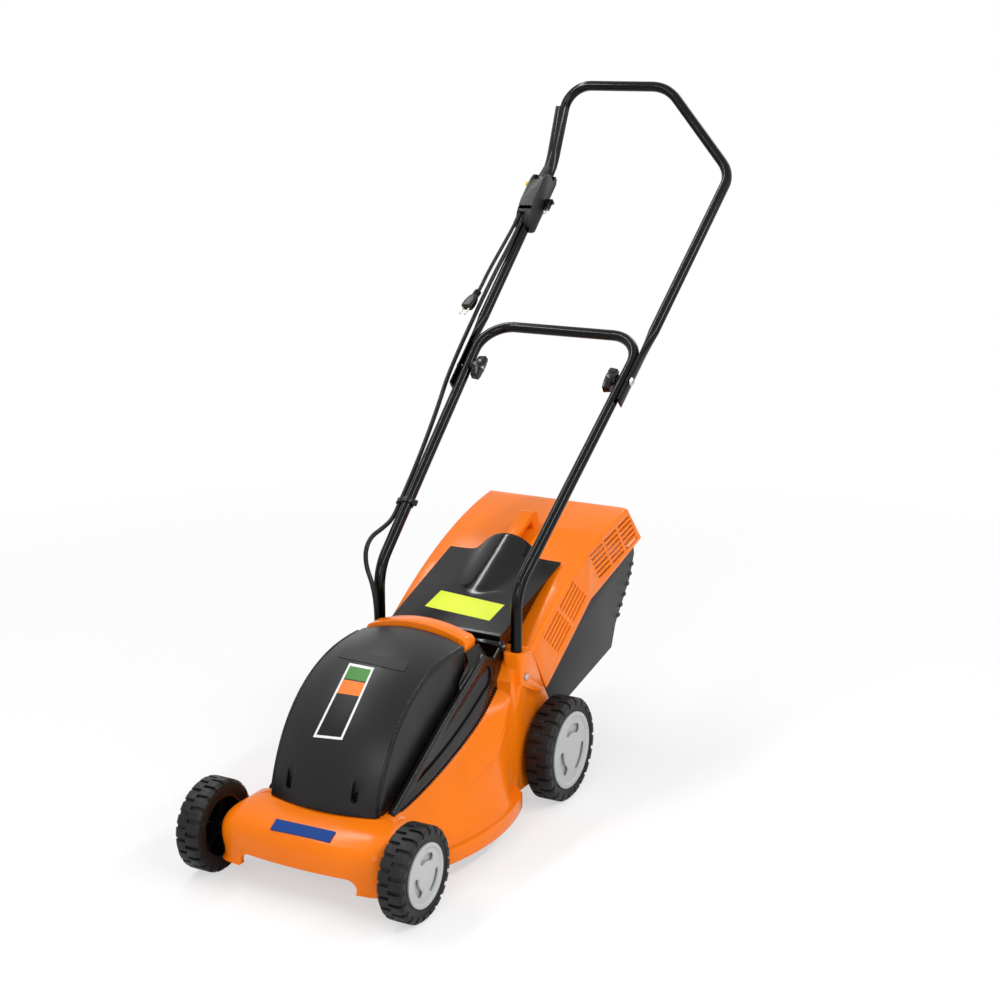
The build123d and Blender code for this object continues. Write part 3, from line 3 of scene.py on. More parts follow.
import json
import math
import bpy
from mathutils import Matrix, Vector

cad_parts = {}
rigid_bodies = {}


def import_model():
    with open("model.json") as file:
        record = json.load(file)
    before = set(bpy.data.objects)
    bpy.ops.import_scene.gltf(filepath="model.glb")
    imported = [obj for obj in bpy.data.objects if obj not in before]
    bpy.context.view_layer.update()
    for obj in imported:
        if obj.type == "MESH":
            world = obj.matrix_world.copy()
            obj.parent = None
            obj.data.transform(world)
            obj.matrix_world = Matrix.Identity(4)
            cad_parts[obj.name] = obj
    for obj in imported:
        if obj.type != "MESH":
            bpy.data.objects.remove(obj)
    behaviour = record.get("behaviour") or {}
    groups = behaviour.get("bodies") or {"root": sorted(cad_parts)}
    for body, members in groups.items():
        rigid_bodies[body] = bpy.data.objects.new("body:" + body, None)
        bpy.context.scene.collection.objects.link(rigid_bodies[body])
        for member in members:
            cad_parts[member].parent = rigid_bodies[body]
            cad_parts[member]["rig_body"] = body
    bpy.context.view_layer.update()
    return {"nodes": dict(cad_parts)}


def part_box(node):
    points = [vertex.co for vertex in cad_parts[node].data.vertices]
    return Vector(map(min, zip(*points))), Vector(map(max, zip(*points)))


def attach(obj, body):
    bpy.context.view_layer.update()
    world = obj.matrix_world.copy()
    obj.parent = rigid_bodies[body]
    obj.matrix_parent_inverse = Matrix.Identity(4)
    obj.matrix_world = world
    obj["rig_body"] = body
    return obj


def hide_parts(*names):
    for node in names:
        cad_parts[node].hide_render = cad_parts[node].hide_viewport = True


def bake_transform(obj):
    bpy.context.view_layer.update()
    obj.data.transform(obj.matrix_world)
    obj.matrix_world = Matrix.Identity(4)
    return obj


bl_info = {
    "name": "Push Mower Dressing",
    "version": (1, 0, 0),
    "blender": (4, 5, 0),
    "location": "View3D > Sidebar > Mower",
    "description": "Dresses the packed push mower with its finishes, cables, trim and studio",
    "category": "Object",
}

import bmesh
import bpy
from bpy.props import FloatProperty, FloatVectorProperty, PointerProperty
from mathutils import Euler, Matrix, Vector
from mathutils.bvhtree import BVHTree

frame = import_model()
NODES = frame["nodes"]
MM = 0.001
# The frame's origin lies this far behind the middle of the wheelbase.
WHEELBASE_MID_Y = -325.5125
WHEELS = ("front_left", "front_right", "rear_left", "rear_right")

# The camera that the photograph was taken with: where it stands, how it is turned and its lens.
CAMERA_SPOT = Vector((1.4313, -2.6263, 1.2420))
CAMERA_TURN = Euler((math.radians(75.673), 0.0, math.radians(28.403)))
CAMERA_LENS_MM = 65.2
SENSOR_MM = 36.0
PHOTO_PIXELS = 1000

# Corners of the flat trim in the photograph, in pixels: upper left, upper right, lower right, lower left.
FRONT_PLATE_CORNERS = ((277, 820), (336, 833), (330, 843), (271, 830))
FLAP_STICKER_CORNERS = ((441.2, 590.6), (504.4, 605.3), (489.4, 621), (425, 606.3))
HOOD_BAND_CORNERS = ((344, 649), (409.6, 662), (403.8, 671.8), (338, 657))
HOOD_LABEL_CORNERS = ((349.6, 663), (374.3, 668), (342, 740), (313, 737))
# Points along the crease of the deck's flank, in pixels, from the rear down to the front wheel.
FLANK_CREASE = (
    (510, 700), (507, 718), (503, 738), (497, 755), (487, 770), (473, 784), (456, 797), (441, 807),
)

# Routes of the cables, as the solids have them.
MOTOR_CABLE_ROUTE = (
    (-0.1837, 0.4556, 0.9129), (-0.1822, 0.4189, 0.8826), (-0.1825, 0.3863, 0.8555),
    (-0.1853, 0.3518, 0.8232), (-0.1889, 0.3133, 0.7835), (-0.1895, 0.2732, 0.7457),
    (-0.1881, 0.2292, 0.7079), (-0.1848, 0.1817, 0.6680), (-0.181, 0.1504, 0.642),
    (-0.173, 0.1118, 0.61), (-0.165, 0.0635, 0.57), (-0.157, 0.0032, 0.52),
    (-0.1522, -0.0571, 0.47), (-0.1505, -0.0875, 0.445), (-0.15, -0.1225, 0.437), (-0.15, -0.1555, 0.432),
    (-0.1495, -0.1755, 0.414), (-0.146, -0.1795, 0.386), (-0.131, -0.1845, 0.36), (-0.122, -0.1885, 0.328),
    (-0.1185, -0.1925, 0.29), (-0.118, -0.1945, 0.255), (-0.118, -0.1945, 0.2274),
)
PLUG_LEAD_ROUTE = (
    (-0.1909, 0.4524, 0.9165), (-0.19, 0.4277, 0.8961), (-0.192, 0.3943, 0.8675), (-0.1964, 0.3624, 0.8369),
    (-0.2, 0.338, 0.812), (-0.2018, 0.3165, 0.7888), (-0.2025, 0.3064, 0.7823),
)
# Sleeve where a cable leaves the switch box: length, wall at its thick end and depth of its grooves.
RELIEF_LENGTH_MM = 26
RELIEF_WALL_MM = 0.8
RELIEF_GROOVE_MM = 0.28
RELIEF_STEPS = 52

# From here on, lengths and places are in millimetres, and places are measured from the wheelbase's middle.
# The flap's flat top: its front edge, its length, two points on its slope (y, z), half its width and its flare.
FLAP_FRONT_Y = 157.0
FLAP_LENGTH = 207.0
FLAP_LOW = (162.0, 304.0)
FLAP_HIGH = (364.0, 372.0)
FLAP_HALF_WIDTH = 103.6
FLAP_FLARE = 5.0
FLAP_COLUMNS = 72
FLAP_ROWS = 60
# The scoop swells from this line to the rear, and its rim leans back from the second line on.
SCOOP_START_Y = 262.0
SCOOP_LENGTH = 116.0
RIM_START_Y = 330.0
RIM_LEAN = 14.6
# The roll of the flap's front edge: its radius, and the turns at which it has points.
FLAP_ROLL = 8.0
FLAP_ROLL_TURNS = (20, 40, 60, 80, 100)

# Rings of a hub cap's floor: share of the cap's radius, and how far outside its inner face.
CAP_FLOOR_RINGS = ((0.8, 0.1), (0.74, -2.6), (0.42, -2.6), (0.3, 0.2))
CAP_FLOOR_SIDES = 48
# The hood's edge beads: how far out, the middle (y, z) that the hood curves about, and their radius.
HOOD_EDGE_X = 93.6
HOOD_MIDDLE = (40, 125.3)
HOOD_BEAD_MM = 2.1
# The rounded crease on the deck's flank: how deep its line lies, and its radius.
CREASE_SUNK_MM = 1.9
CREASE_MM = 3.0
# The line of the teeth under the cowl: how far out, and its front and rear end.
TEETH_X = 113.0
TEETH_FROM_Y = -170
TEETH_TO_Y = 128
# Ribs on the tub's rear wall: how many, the lowest one's height, their spacing and their section.
TUB_RIBS = 6
TUB_RIB_LOW_Z = 226
TUB_RIB_PITCH = 17
TUB_RIB_SECTION = (11.0, 6.0)
# Louvre groups: name, middle (y, z), slope, columns, their pitch, slot length and lean of the rows.
LOUVRE_GROUPS = (
    ("front_louvre_fins", (310, 296), 32.0, 2, 69.0, 61.0, 0.28),
    ("rear_louvre_fins", (503, 371), 12.0, 3, 57.0, 50.0, 0.35),
)
# Rows of a group and their pitch; tilt of the fins, how deep they sit behind the skirt and their thickness.
LOUVRE_ROWS = 6
LOUVRE_PITCH = 9.8
LOUVRE_FIN_TILT = -38
LOUVRE_FIN_SUNK_MM = 7.4
LOUVRE_FIN_MM = 1.4


def linear(hex_colour):
    """An sRGB hex colour as linear red, green, blue and full alpha."""
    channels = [int(hex_colour[i:i + 2], 16) / 255 for i in (1, 3, 5)]
    return [c / 12.92 if c <= 0.04045 else ((c + 0.055) / 1.055) ** 2.4 for c in channels] + [1.0]


def from_wheelbase(x, y, z):
    """A point given in millimetres from the middle of the wheelbase, in the frame."""
    return Vector((x * MM, (y + WHEELBASE_MID_Y) * MM, z * MM))


def add_node(tree, kind, inputs=None, **settings):
    """A shader or geometry node with its settings, its values and its links."""
    made = tree.nodes.new(kind)
    for key, value in settings.items():
        setattr(made, key, value)
    for socket, value in (inputs or {}).items():
        if isinstance(value, bpy.types.NodeSocket):
            tree.links.new(value, made.inputs[socket])
        else:
            made.inputs[socket].default_value = value
    return made


def finish_material(name, colour, rough, grain_mm, grain_depth, metal=0.0, specular=0.5, wander=0.05):
    """A surface with its colour drifting a little, its gloss uneven and a fine grain in relief."""
    made = bpy.data.materials.new(name)
    made.use_nodes = True
    tree = made.node_tree
    tree.nodes.clear()
    place = add_node(tree, "ShaderNodeTexCoord")
    drift = add_node(tree, "ShaderNodeTexNoise", {
        "Vector": place.outputs["Object"], "Scale": 9.0, "Detail": 3.0})
    shade = add_node(tree, "ShaderNodeMapRange", {
        "Value": drift.outputs["Fac"], "From Min": 0.3, "From Max": 0.7,
        "To Min": 1 - wander, "To Max": 1 + wander})
    tint = add_node(tree, "ShaderNodeMix", {6: colour, 7: shade.outputs["Result"], 0: 1.0},
                    data_type="RGBA", blend_type="MULTIPLY")
    grain = add_node(tree, "ShaderNodeTexNoise", {
        "Vector": place.outputs["Object"], "Scale": 1 / (grain_mm * MM), "Detail": 2.0})
    gloss = add_node(tree, "ShaderNodeMapRange", {
        "Value": drift.outputs["Fac"], "From Min": 0.3, "From Max": 0.7,
        "To Min": rough * 0.9, "To Max": rough * 1.1})
    relief = add_node(tree, "ShaderNodeBump", {
        "Height": grain.outputs["Fac"], "Strength": 0.6, "Distance": grain_depth * MM})
    surface = add_node(tree, "ShaderNodeBsdfPrincipled", {
        "Base Color": tint.outputs[2], "Roughness": gloss.outputs["Result"], "Metallic": metal,
        "Specular IOR Level": specular, "Normal": relief.outputs["Normal"]})
    add_node(tree, "ShaderNodeOutputMaterial", {"Surface": surface.outputs["BSDF"]})
    return made


# Each finish: hex colour, roughness, grain in millimetres, grain depth in millimetres and what else it needs.
FINISHES = {
    # Moulded ABS from a polished tool: bright, with soft wide highlights and a faint ripple.
    "polished_orange_abs": ("#EE7609", 0.2, 9.0, 0.04, {"specular": 0.18, "wander": 0.03}),
    # Moulded ABS from a spark-eroded tool: a fine matt grain, drawn coarser than the real 0.3 mm to show.
    "grained_black_abs": ("#101010", 0.36, 1.0, 0.03, {"specular": 0.28}),
    # The same resin from a smooth tool, for edges, knobs and small mouldings.
    "smooth_black_abs": ("#080809", 0.2, 3.0, 0.02, {"specular": 0.3}),
    # The flap's resin, polished: deep black with clear highlights.
    "polished_black_abs": ("#060607", 0.14, 5.0, 0.02, {"specular": 0.26}),
    # Polypropylene tub: duller and greyer, with a soft grain.
    "grained_grey_polypropylene": ("#303031", 0.48, 1.2, 0.04, {"specular": 0.17}),
    # Polypropylene wheel tread: dry black.
    "moulded_tyre_polypropylene": ("#141414", 0.46, 1.6, 0.05, {"specular": 0.25, "wander": 0.12}),
    # Light grey polypropylene caps.
    "moulded_grey_cap": ("#AEB0B0", 0.4, 2.0, 0.02, {"wander": 0.03}),
    # Baked enamel on steel tube: deep black with sharp reflections.
    "gloss_black_enamel": ("#030304", 0.12, 5.0, 0.02, {"specular": 0.2}),
    # Zinc-plated steel: pale, slightly clouded metal.
    "zinc_plated_steel": ("#B9BCBF", 0.32, 1.2, 0.01, {"metal": 1.0}),
    # Drawn steel can: greyer, with a satin bloom.
    "motor_casing_steel": ("#6E7072", 0.4, 1.2, 0.01, {"metal": 1.0}),
    # Steel darkened to stand in for the shade in the hood's recess: painted shade, with a low metal shine.
    "blackened_steel": ("#1B1B1C", 0.4, 1.0, 0.01, {"metal": 1.0}),
    # Stacked sheet steel: dull, with a fine tooth.
    "lamination_steel": ("#7C7C7E", 0.45, 0.8, 0.02, {"metal": 1.0}),
    # PVC cord sheath: soft sheen.
    "black_pvc_sheath": ("#0C0C0D", 0.32, 2.0, 0.02, {"specular": 0.25}),
    # Glossy yellow safety button.
    "yellow_abs": ("#E4C21C", 0.3, 3.0, 0.01, {}),
    # Nickel over brass: warm pale metal.
    "nickelled_brass": ("#C9C4B4", 0.24, 1.0, 0.005, {"metal": 1.0}),
    # Printed vinyl film: flat colour under a thin gloss, with the faint ripple of the moulding below.
    "blue_vinyl": ("#0F3C82", 0.36, 4.0, 0.005, {"specular": 0.06, "wander": 0.02}),
    "lime_vinyl": ("#DCEC3C", 0.4, 4.0, 0.005, {"specular": 0.2, "wander": 0.02}),
    "white_vinyl": ("#E8E8E6", 0.4, 4.0, 0.005, {"specular": 0.2, "wander": 0.02}),
    "green_vinyl": ("#3F7F33", 0.4, 4.0, 0.005, {"specular": 0.2, "wander": 0.02}),
    "orange_vinyl": ("#E87824", 0.4, 4.0, 0.005, {"specular": 0.2, "wander": 0.02}),
    "matt_grey_vinyl": ("#2C2C2D", 0.5, 2.0, 0.01, {"specular": 0.2, "wander": 0.04}),
    "black_vinyl": ("#131316", 0.4, 4.0, 0.005, {"specular": 0.2, "wander": 0.02}),
}

# Finishes whose colour the user sets, and the property that holds it.
COLOUR_OF = {
    "polished_orange_abs": "orange", "grained_grey_polypropylene": "tub", "moulded_grey_cap": "caps",
    "blue_vinyl": "plate", "lime_vinyl": "sticker",
}


def finish(name):
    """The named finish, made on first use."""
    found = bpy.data.materials.get(name)
    if found is None:
        colour, rough, grain_mm, depth, more = FINISHES[name]
        chosen = linear(colour)
        if name in COLOUR_OF:
            chosen = [*getattr(bpy.context.scene.mower_colours, COLOUR_OF[name]), 1.0]
        found = finish_material(name, chosen, rough, grain_mm, depth, **more)
    return found


def linked(name, mesh):
    """An object for the mesh, in the scene."""
    made = bpy.data.objects.new(name, mesh)
    bpy.context.scene.collection.objects.link(made)
    return made


def new_piece(name, mesh, body, material=None):
    """A mesh in the row frame as a piece that rides on a body."""
    made = linked(name, mesh)
    if material:
        mesh.materials.clear()
        mesh.materials.append(finish(material))
    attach(made, body)
    return made


def plain_mesh(made):
    """The object's mesh with its modifiers applied; the object goes."""
    bpy.context.view_layer.update()
    graph = bpy.context.evaluated_depsgraph_get()
    mesh = bpy.data.meshes.new_from_object(made.evaluated_get(graph), depsgraph=graph)
    bpy.data.objects.remove(made)
    return mesh


def smoothed(mesh, sharp_deg=32):
    """Curved faces shaded smooth, with edges kept where they are sharp."""
    mesh.shade_smooth()
    mesh.set_sharp_from_angle(angle=math.radians(sharp_deg))
    return mesh


def merged_mesh(node):
    """A copy of a node's mesh with its triangles joined up and its flat faces whole."""
    mesh = NODES[node].data.copy()
    work = bmesh.new()
    work.from_mesh(mesh)
    bmesh.ops.remove_doubles(work, verts=work.verts, dist=2e-5)
    bmesh.ops.dissolve_limit(work, angle_limit=math.radians(0.3), verts=work.verts, edges=work.edges)
    work.to_mesh(mesh)
    work.free()
    return mesh


def dressed(node, material, edge_mm=0.6, sharp_deg=32):
    """A CAD piece with softened edges and smooth curved faces, in place of its node."""
    body = NODES[node]["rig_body"]
    mesh = merged_mesh(node)
    mesh.materials.clear()
    mesh.materials.append(finish(material))
    made = linked(node + "_form", mesh)
    if edge_mm:
        soft = made.modifiers.new("edges", "BEVEL")
        soft.width = edge_mm * MM
        soft.segments = 2
        soft.limit_method = "ANGLE"
        soft.angle_limit = math.radians(sharp_deg)
    mesh = smoothed(plain_mesh(made), sharp_deg)
    piece = new_piece(node + "_dressed", mesh, body)
    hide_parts(node)
    return piece


def painted(node, material):
    """A CAD node that keeps its own mesh and gets a finish."""
    mesh = NODES[node].data
    mesh.materials.clear()
    mesh.materials.append(finish(material))


def surface_of(node):
    """A node's faces, to cast lines at."""
    mesh = NODES[node].data
    corners = [vertex.co.copy() for vertex in mesh.vertices]
    return BVHTree.FromPolygons(corners, [tuple(face.vertices) for face in mesh.polygons])


def seen_at(surface, across, down):
    """The point and the normal where the photograph's pixel lies on a surface."""
    focal = CAMERA_LENS_MM / SENSOR_MM * PHOTO_PIXELS
    middle = PHOTO_PIXELS / 2
    way = CAMERA_TURN.to_matrix() @ Vector((across - middle, middle - down, -focal)).normalized()
    spot, normal, _, _ = surface.ray_cast(CAMERA_SPOT, way)
    if spot is None:
        raise RuntimeError("no surface behind the pixel %.0f, %.0f" % (across, down))
    return spot, normal


def laid_film(name, node, corners, materials, choose, thick_mm, cells, stiff=False):
    """Thin film on a node's surface, where its four corners lie in the photograph; a stiff one lies flat."""
    surface = surface_of(node)
    first, second, third, fourth = [Vector(c) for c in corners]
    columns, rows = cells
    spots = []
    for row in range(rows + 1):
        for column in range(columns + 1):
            u, v = column / columns, row / rows
            upper, lower = first.lerp(second, u), fourth.lerp(third, u)
            spot, normal = seen_at(surface, *upper.lerp(lower, v))
            spots.append(spot + normal * thick_mm * MM)
    if stiff:
        ends = [spots[0], spots[columns], spots[-1], spots[-columns - 1]]
        out = (ends[3] - ends[0]).cross(ends[1] - ends[0]).normalized()
        flat = []
        for number in range(len(spots)):
            u, v = number % (columns + 1) / columns, number // (columns + 1) / rows
            flat.append(ends[0].lerp(ends[1], u).lerp(ends[3].lerp(ends[2], u), v))
        proud = max((spot - level).dot(out) for spot, level in zip(spots, flat))
        spots = [level + out * proud for level in flat]
    faces = []
    chosen = []
    for row in range(rows):
        for column in range(columns):
            corner = row * (columns + 1) + column
            faces.append((corner, corner + columns + 1, corner + columns + 2, corner + 1))
            chosen.append(choose((column + 0.5) / columns, (row + 0.5) / rows))
    mesh = bpy.data.meshes.new(name)
    mesh.from_pydata(spots, [], faces)
    for material in materials:
        mesh.materials.append(finish(material))
    mesh.polygons.foreach_set("material_index", chosen)
    made = linked(name + "_flat", mesh)
    wall = made.modifiers.new("thickness", "SOLIDIFY")
    wall.thickness = (thick_mm + (3.0 if stiff else 0.2)) * MM
    wall.offset = -1.0
    return new_piece(name, smoothed(plain_mesh(made), 40), NODES[node]["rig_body"])


def bars_tree():
    """Geometry nodes: one bar at each point, turned and stretched as the point says."""
    tree = bpy.data.node_groups.new("bars_at_points", "GeometryNodeTree")
    tree.interface.new_socket("Points", in_out="INPUT", socket_type="NodeSocketGeometry")
    tree.interface.new_socket("Bar size", in_out="INPUT", socket_type="NodeSocketVector")
    tree.interface.new_socket("Finish", in_out="INPUT", socket_type="NodeSocketMaterial")
    tree.interface.new_socket("Bars", in_out="OUTPUT", socket_type="NodeSocketGeometry")
    given = add_node(tree, "NodeGroupInput").outputs
    bar = add_node(tree, "GeometryNodeMeshCube", {"Size": given["Bar size"]})
    turn = add_node(tree, "GeometryNodeInputNamedAttribute", {"Name": "turn"}, data_type="FLOAT_VECTOR")
    turned = add_node(tree, "FunctionNodeEulerToRotation", {"Euler": turn.outputs["Attribute"]})
    stretch = add_node(tree, "GeometryNodeInputNamedAttribute", {"Name": "stretch"}, data_type="FLOAT_VECTOR")
    placed = add_node(tree, "GeometryNodeInstanceOnPoints", {
        "Points": given["Points"], "Instance": bar.outputs["Mesh"], "Rotation": turned.outputs["Rotation"],
        "Scale": stretch.outputs["Attribute"]})
    real = add_node(tree, "GeometryNodeRealizeInstances", {"Geometry": placed.outputs["Instances"]})
    clad = add_node(tree, "GeometryNodeSetMaterial", {
        "Geometry": real.outputs["Geometry"], "Material": given["Finish"]})
    add_node(tree, "NodeGroupOutput", {"Bars": clad.outputs["Geometry"]})
    return tree


def spots_mesh(name, spots, turns, stretches):
    """Points that say how their bars are turned and stretched."""
    mesh = bpy.data.meshes.new(name)
    mesh.from_pydata(spots, [], [])
    mesh.attributes.new("turn", "FLOAT_VECTOR", "POINT").data.foreach_set("vector", turns)
    mesh.attributes.new("stretch", "FLOAT_VECTOR", "POINT").data.foreach_set("vector", stretches)
    return mesh


def teeth_tree():
    """Geometry nodes: teeth at an even pitch along a line."""
    tree = bpy.data.node_groups.new("teeth_along_line", "GeometryNodeTree")
    tree.interface.new_socket("Line", in_out="INPUT", socket_type="NodeSocketGeometry")
    tree.interface.new_socket("Pitch", in_out="INPUT", socket_type="NodeSocketFloat")
    tree.interface.new_socket("Tooth size", in_out="INPUT", socket_type="NodeSocketVector")
    tree.interface.new_socket("Finish", in_out="INPUT", socket_type="NodeSocketMaterial")
    tree.interface.new_socket("Teeth", in_out="OUTPUT", socket_type="NodeSocketGeometry")
    given = add_node(tree, "NodeGroupInput").outputs
    line = add_node(tree, "GeometryNodeMeshToCurve", {"Mesh": given["Line"]})
    spots = add_node(tree, "GeometryNodeCurveToPoints", {
        "Curve": line.outputs["Curve"], "Length": given["Pitch"]}, mode="LENGTH")
    tooth = add_node(tree, "GeometryNodeMeshCube", {"Size": given["Tooth size"]})
    placed = add_node(tree, "GeometryNodeInstanceOnPoints", {
        "Points": spots.outputs["Points"], "Instance": tooth.outputs["Mesh"],
        "Rotation": spots.outputs["Rotation"]})
    real = add_node(tree, "GeometryNodeRealizeInstances", {"Geometry": placed.outputs["Instances"]})
    clad = add_node(tree, "GeometryNodeSetMaterial", {
        "Geometry": real.outputs["Geometry"], "Material": given["Finish"]})
    add_node(tree, "NodeGroupOutput", {"Teeth": clad.outputs["Geometry"]})
    return tree


def grown(name, mesh, tree, **values):
    """The plain mesh that a geometry node tree makes of a starting mesh."""
    made = linked(name + "_start", mesh)
    nodes = made.modifiers.new("grow", "NODES")
    nodes.node_group = tree
    for item in tree.interface.items_tree:
        key = item.name.lower().replace(" ", "_")
        if item.in_out == "INPUT" and key in values:
            nodes[item.identifier] = values[key]
    return plain_mesh(made)


def spline_points(name, route):
    """Points along the smooth NURBS line that a route's points control."""
    curve = bpy.data.curves.new(name, "CURVE")
    curve.dimensions = "3D"
    spline = curve.splines.new("NURBS")
    spline.points.add(len(route) - 1)
    for point, spot in zip(spline.points, route):
        point.co = (*spot, 1.0)
    spline.order_u = 3
    spline.use_endpoint_u = True
    spline.resolution_u = 10
    return [v.co.copy() for v in plain_mesh(linked(name, curve)).vertices]


def tube_mesh(name, path, radii, sides=14):
    """A closed round tube along a path, with a radius at each of its points."""
    work = bmesh.new()
    ways = [(path[min(i + 1, len(path) - 1)] - path[max(i - 1, 0)]).normalized() for i in range(len(path))]
    across = ways[0].orthogonal().normalized()
    rings = []
    for spot, way, radius in zip(path, ways, radii):
        across = (across - way * across.dot(way)).normalized()
        beside = way.cross(across)
        ring = []
        for i in range(sides):
            turn = 2 * math.pi * i / sides
            ring.append(work.verts.new(spot + (across * math.cos(turn) + beside * math.sin(turn)) * radius))
        rings.append(ring)
    for low, high in zip(rings, rings[1:]):
        for i in range(sides):
            work.faces.new((low[i], low[(i + 1) % sides], high[(i + 1) % sides], high[i]))
    work.faces.new(list(reversed(rings[0])))
    work.faces.new(rings[-1])
    mesh = bpy.data.meshes.new(name)
    work.to_mesh(mesh)
    work.free()
    return smoothed(mesh, 50)


def relief_mesh(name, path, radius):
    """A ribbed sleeve that tapers along the first stretch of a cable, where it leaves the switch box."""
    line = [path[0]]
    radii = [radius + RELIEF_WALL_MM * MM]
    gone = 0.0
    number = 0
    for step in range(1, RELIEF_STEPS + 1):
        share = step / RELIEF_STEPS
        want = RELIEF_LENGTH_MM * MM * share
        while number < len(path) - 2 and gone + (path[number + 1] - path[number]).length < want:
            gone += (path[number + 1] - path[number]).length
            number += 1
        way = path[number + 1] - path[number]
        line.append(path[number] + way * ((want - gone) / way.length))
        groove = 0.0 if step % 4 in (1, 2) else RELIEF_GROOVE_MM
        radii.append(radius + (RELIEF_WALL_MM * (1 - 0.75 * share) - groove * (1 - 0.5 * share)) * MM)
    return tube_mesh(name, line, radii, 20)


def colour_property(name, description, finish_name):
    """A colour that starts as a finish has it."""
    return FloatVectorProperty(name=name, description=description, subtype="COLOR", size=3, min=0, max=1,
                               default=linear(FINISHES[finish_name][0])[:3])


class MowerColours(bpy.types.PropertyGroup):
    """Colours of the mouldings and films."""

    orange: colour_property("Mouldings", "Colour of the deck and the box lid", "polished_orange_abs")
    tub: colour_property("Tub", "Colour of the box's tub", "grained_grey_polypropylene")
    caps: colour_property("Hub caps", "Colour of the hub caps", "moulded_grey_cap")
    plate: colour_property("Front plate", "Colour of the plate on the bumper", "blue_vinyl")
    sticker: colour_property("Flap sticker", "Colour of the sticker on the flap", "lime_vinyl")


class MowerTrim(bpy.types.PropertyGroup):
    """Sizes of the cables and the fine trim."""

    motor_cable: FloatProperty(name="Motor cable", description="Diameter of the motor cable", default=0.008,
                               unit="LENGTH")
    plug_lead: FloatProperty(name="Plug lead", description="Diameter of the short mains lead", default=0.007,
                             unit="LENGTH")
    tooth_pitch: FloatProperty(name="Tooth pitch", description="Distance between the teeth under the cowl",
                               default=0.0055, unit="LENGTH")
    tooth_size: FloatVectorProperty(name="Tooth", description="Height, reach and width of a tooth", size=3,
                                    default=(0.0026, 0.0058, 0.003), unit="LENGTH")
    fin_depth: FloatProperty(name="Louvre fin", description="Depth of the fin behind a louvre slot",
                             default=0.011, unit="LENGTH")


class MOWER_OT_stage(bpy.types.Operator):
    """Set up the floor, the studio lights and the camera"""

    bl_idname = "mower.stage"
    bl_label = "Stage"

    def execute(self, context):
        mesh = bpy.data.meshes.new("floor")
        reach = 30.0
        corners = [(-reach, -reach, 0), (reach, -reach, 0), (reach, reach, 0), (-reach, reach, 0)]
        mesh.from_pydata(corners, [], [(0, 1, 2, 3)])
        floor = linked("floor", mesh)
        # White studio paper: it shows white to the eye, and takes the soft shadow near the machine.
        paper = bpy.data.materials.new("studio_paper")
        paper.use_nodes = True
        tree = paper.node_tree
        tree.nodes.clear()
        ray = add_node(tree, "ShaderNodeLightPath")
        place = add_node(tree, "ShaderNodeTexCoord")
        away = add_node(tree, "ShaderNodeVectorMath", {0: place.outputs["Object"]}, operation="LENGTH")
        fade = add_node(tree, "ShaderNodeMapRange", {
            "Value": away.outputs["Value"], "From Min": 0.6, "From Max": 2.2, "To Min": 0.55, "To Max": 1.0})
        matt = add_node(tree, "ShaderNodeBsdfDiffuse", {"Color": linear("#F4F4F4")})
        white = add_node(tree, "ShaderNodeEmission", {"Color": (1, 1, 1, 1), "Strength": 1.0})
        seen = add_node(tree, "ShaderNodeMath", {
            0: ray.outputs["Is Camera Ray"], 1: fade.outputs["Result"]}, operation="MULTIPLY")
        both = add_node(tree, "ShaderNodeMixShader", {
            0: seen.outputs[0], 1: matt.outputs[0], 2: white.outputs[0]})
        add_node(tree, "ShaderNodeOutputMaterial", {"Surface": both.outputs[0]})
        mesh.materials.append(paper)
        sky = bpy.data.worlds.new("studio")
        sky.use_nodes = True
        tree = sky.node_tree
        tree.nodes.clear()
        ray = add_node(tree, "ShaderNodeLightPath")
        some = add_node(tree, "ShaderNodeMath", {
            0: ray.outputs["Is Camera Ray"], 1: ray.outputs["Is Glossy Ray"]}, operation="MAXIMUM")
        bare = add_node(tree, "ShaderNodeMath", {
            0: some.outputs[0], 1: ray.outputs["Is Transmission Ray"]}, operation="MAXIMUM")
        level = add_node(tree, "ShaderNodeMapRange", {
            "Value": bare.outputs[0], "To Min": 0.4, "To Max": 1.0})
        back = add_node(tree, "ShaderNodeBackground", {
            "Color": (1, 1, 1, 1), "Strength": level.outputs["Result"]})
        add_node(tree, "ShaderNodeOutputWorld", {"Surface": back.outputs[0]})
        context.scene.world = sky
        # Strips overhead and beside draw fine lines along tubes; a soft box in front lifts the nose.
        for name, power, wide, long, spot, turn in (
            ("left_strip", 46, 0.16, 3.6, (-1.5, -0.5, 3.0), (0, -30, 0)),
            ("right_strip", 52, 0.2, 3.6, (2.2, -0.5, 2.6), (0, 42, 0)),
            ("side_strip", 8, 0.1, 1.7, (2.3, -1.5, 0.95), (76, 0, 65)),
            ("front_box", 28, 1.6, 1.2, (0.9, -3.4, 2.1), (62, 0, 14)),
            ("rear_box", 24, 1.6, 0.8, (0.4, 3.4, 2.8), (-55, 0, -6)),
        ):
            lamp = bpy.data.lights.new(name, "AREA")
            lamp.energy = power
            lamp.shape = "RECTANGLE"
            lamp.size = wide
            lamp.size_y = long
            made = linked(name, lamp)
            made.location = spot
            made.rotation_euler = [math.radians(angle) for angle in turn]
        lens = bpy.data.cameras.new("view")
        lens.sensor_width = SENSOR_MM
        lens.lens = CAMERA_LENS_MM
        view = linked("view", lens)
        view.location = CAMERA_SPOT
        view.rotation_euler = CAMERA_TURN
        context.scene.camera = view
        context.scene.view_settings.view_transform = "Standard"
        return {"FINISHED"}


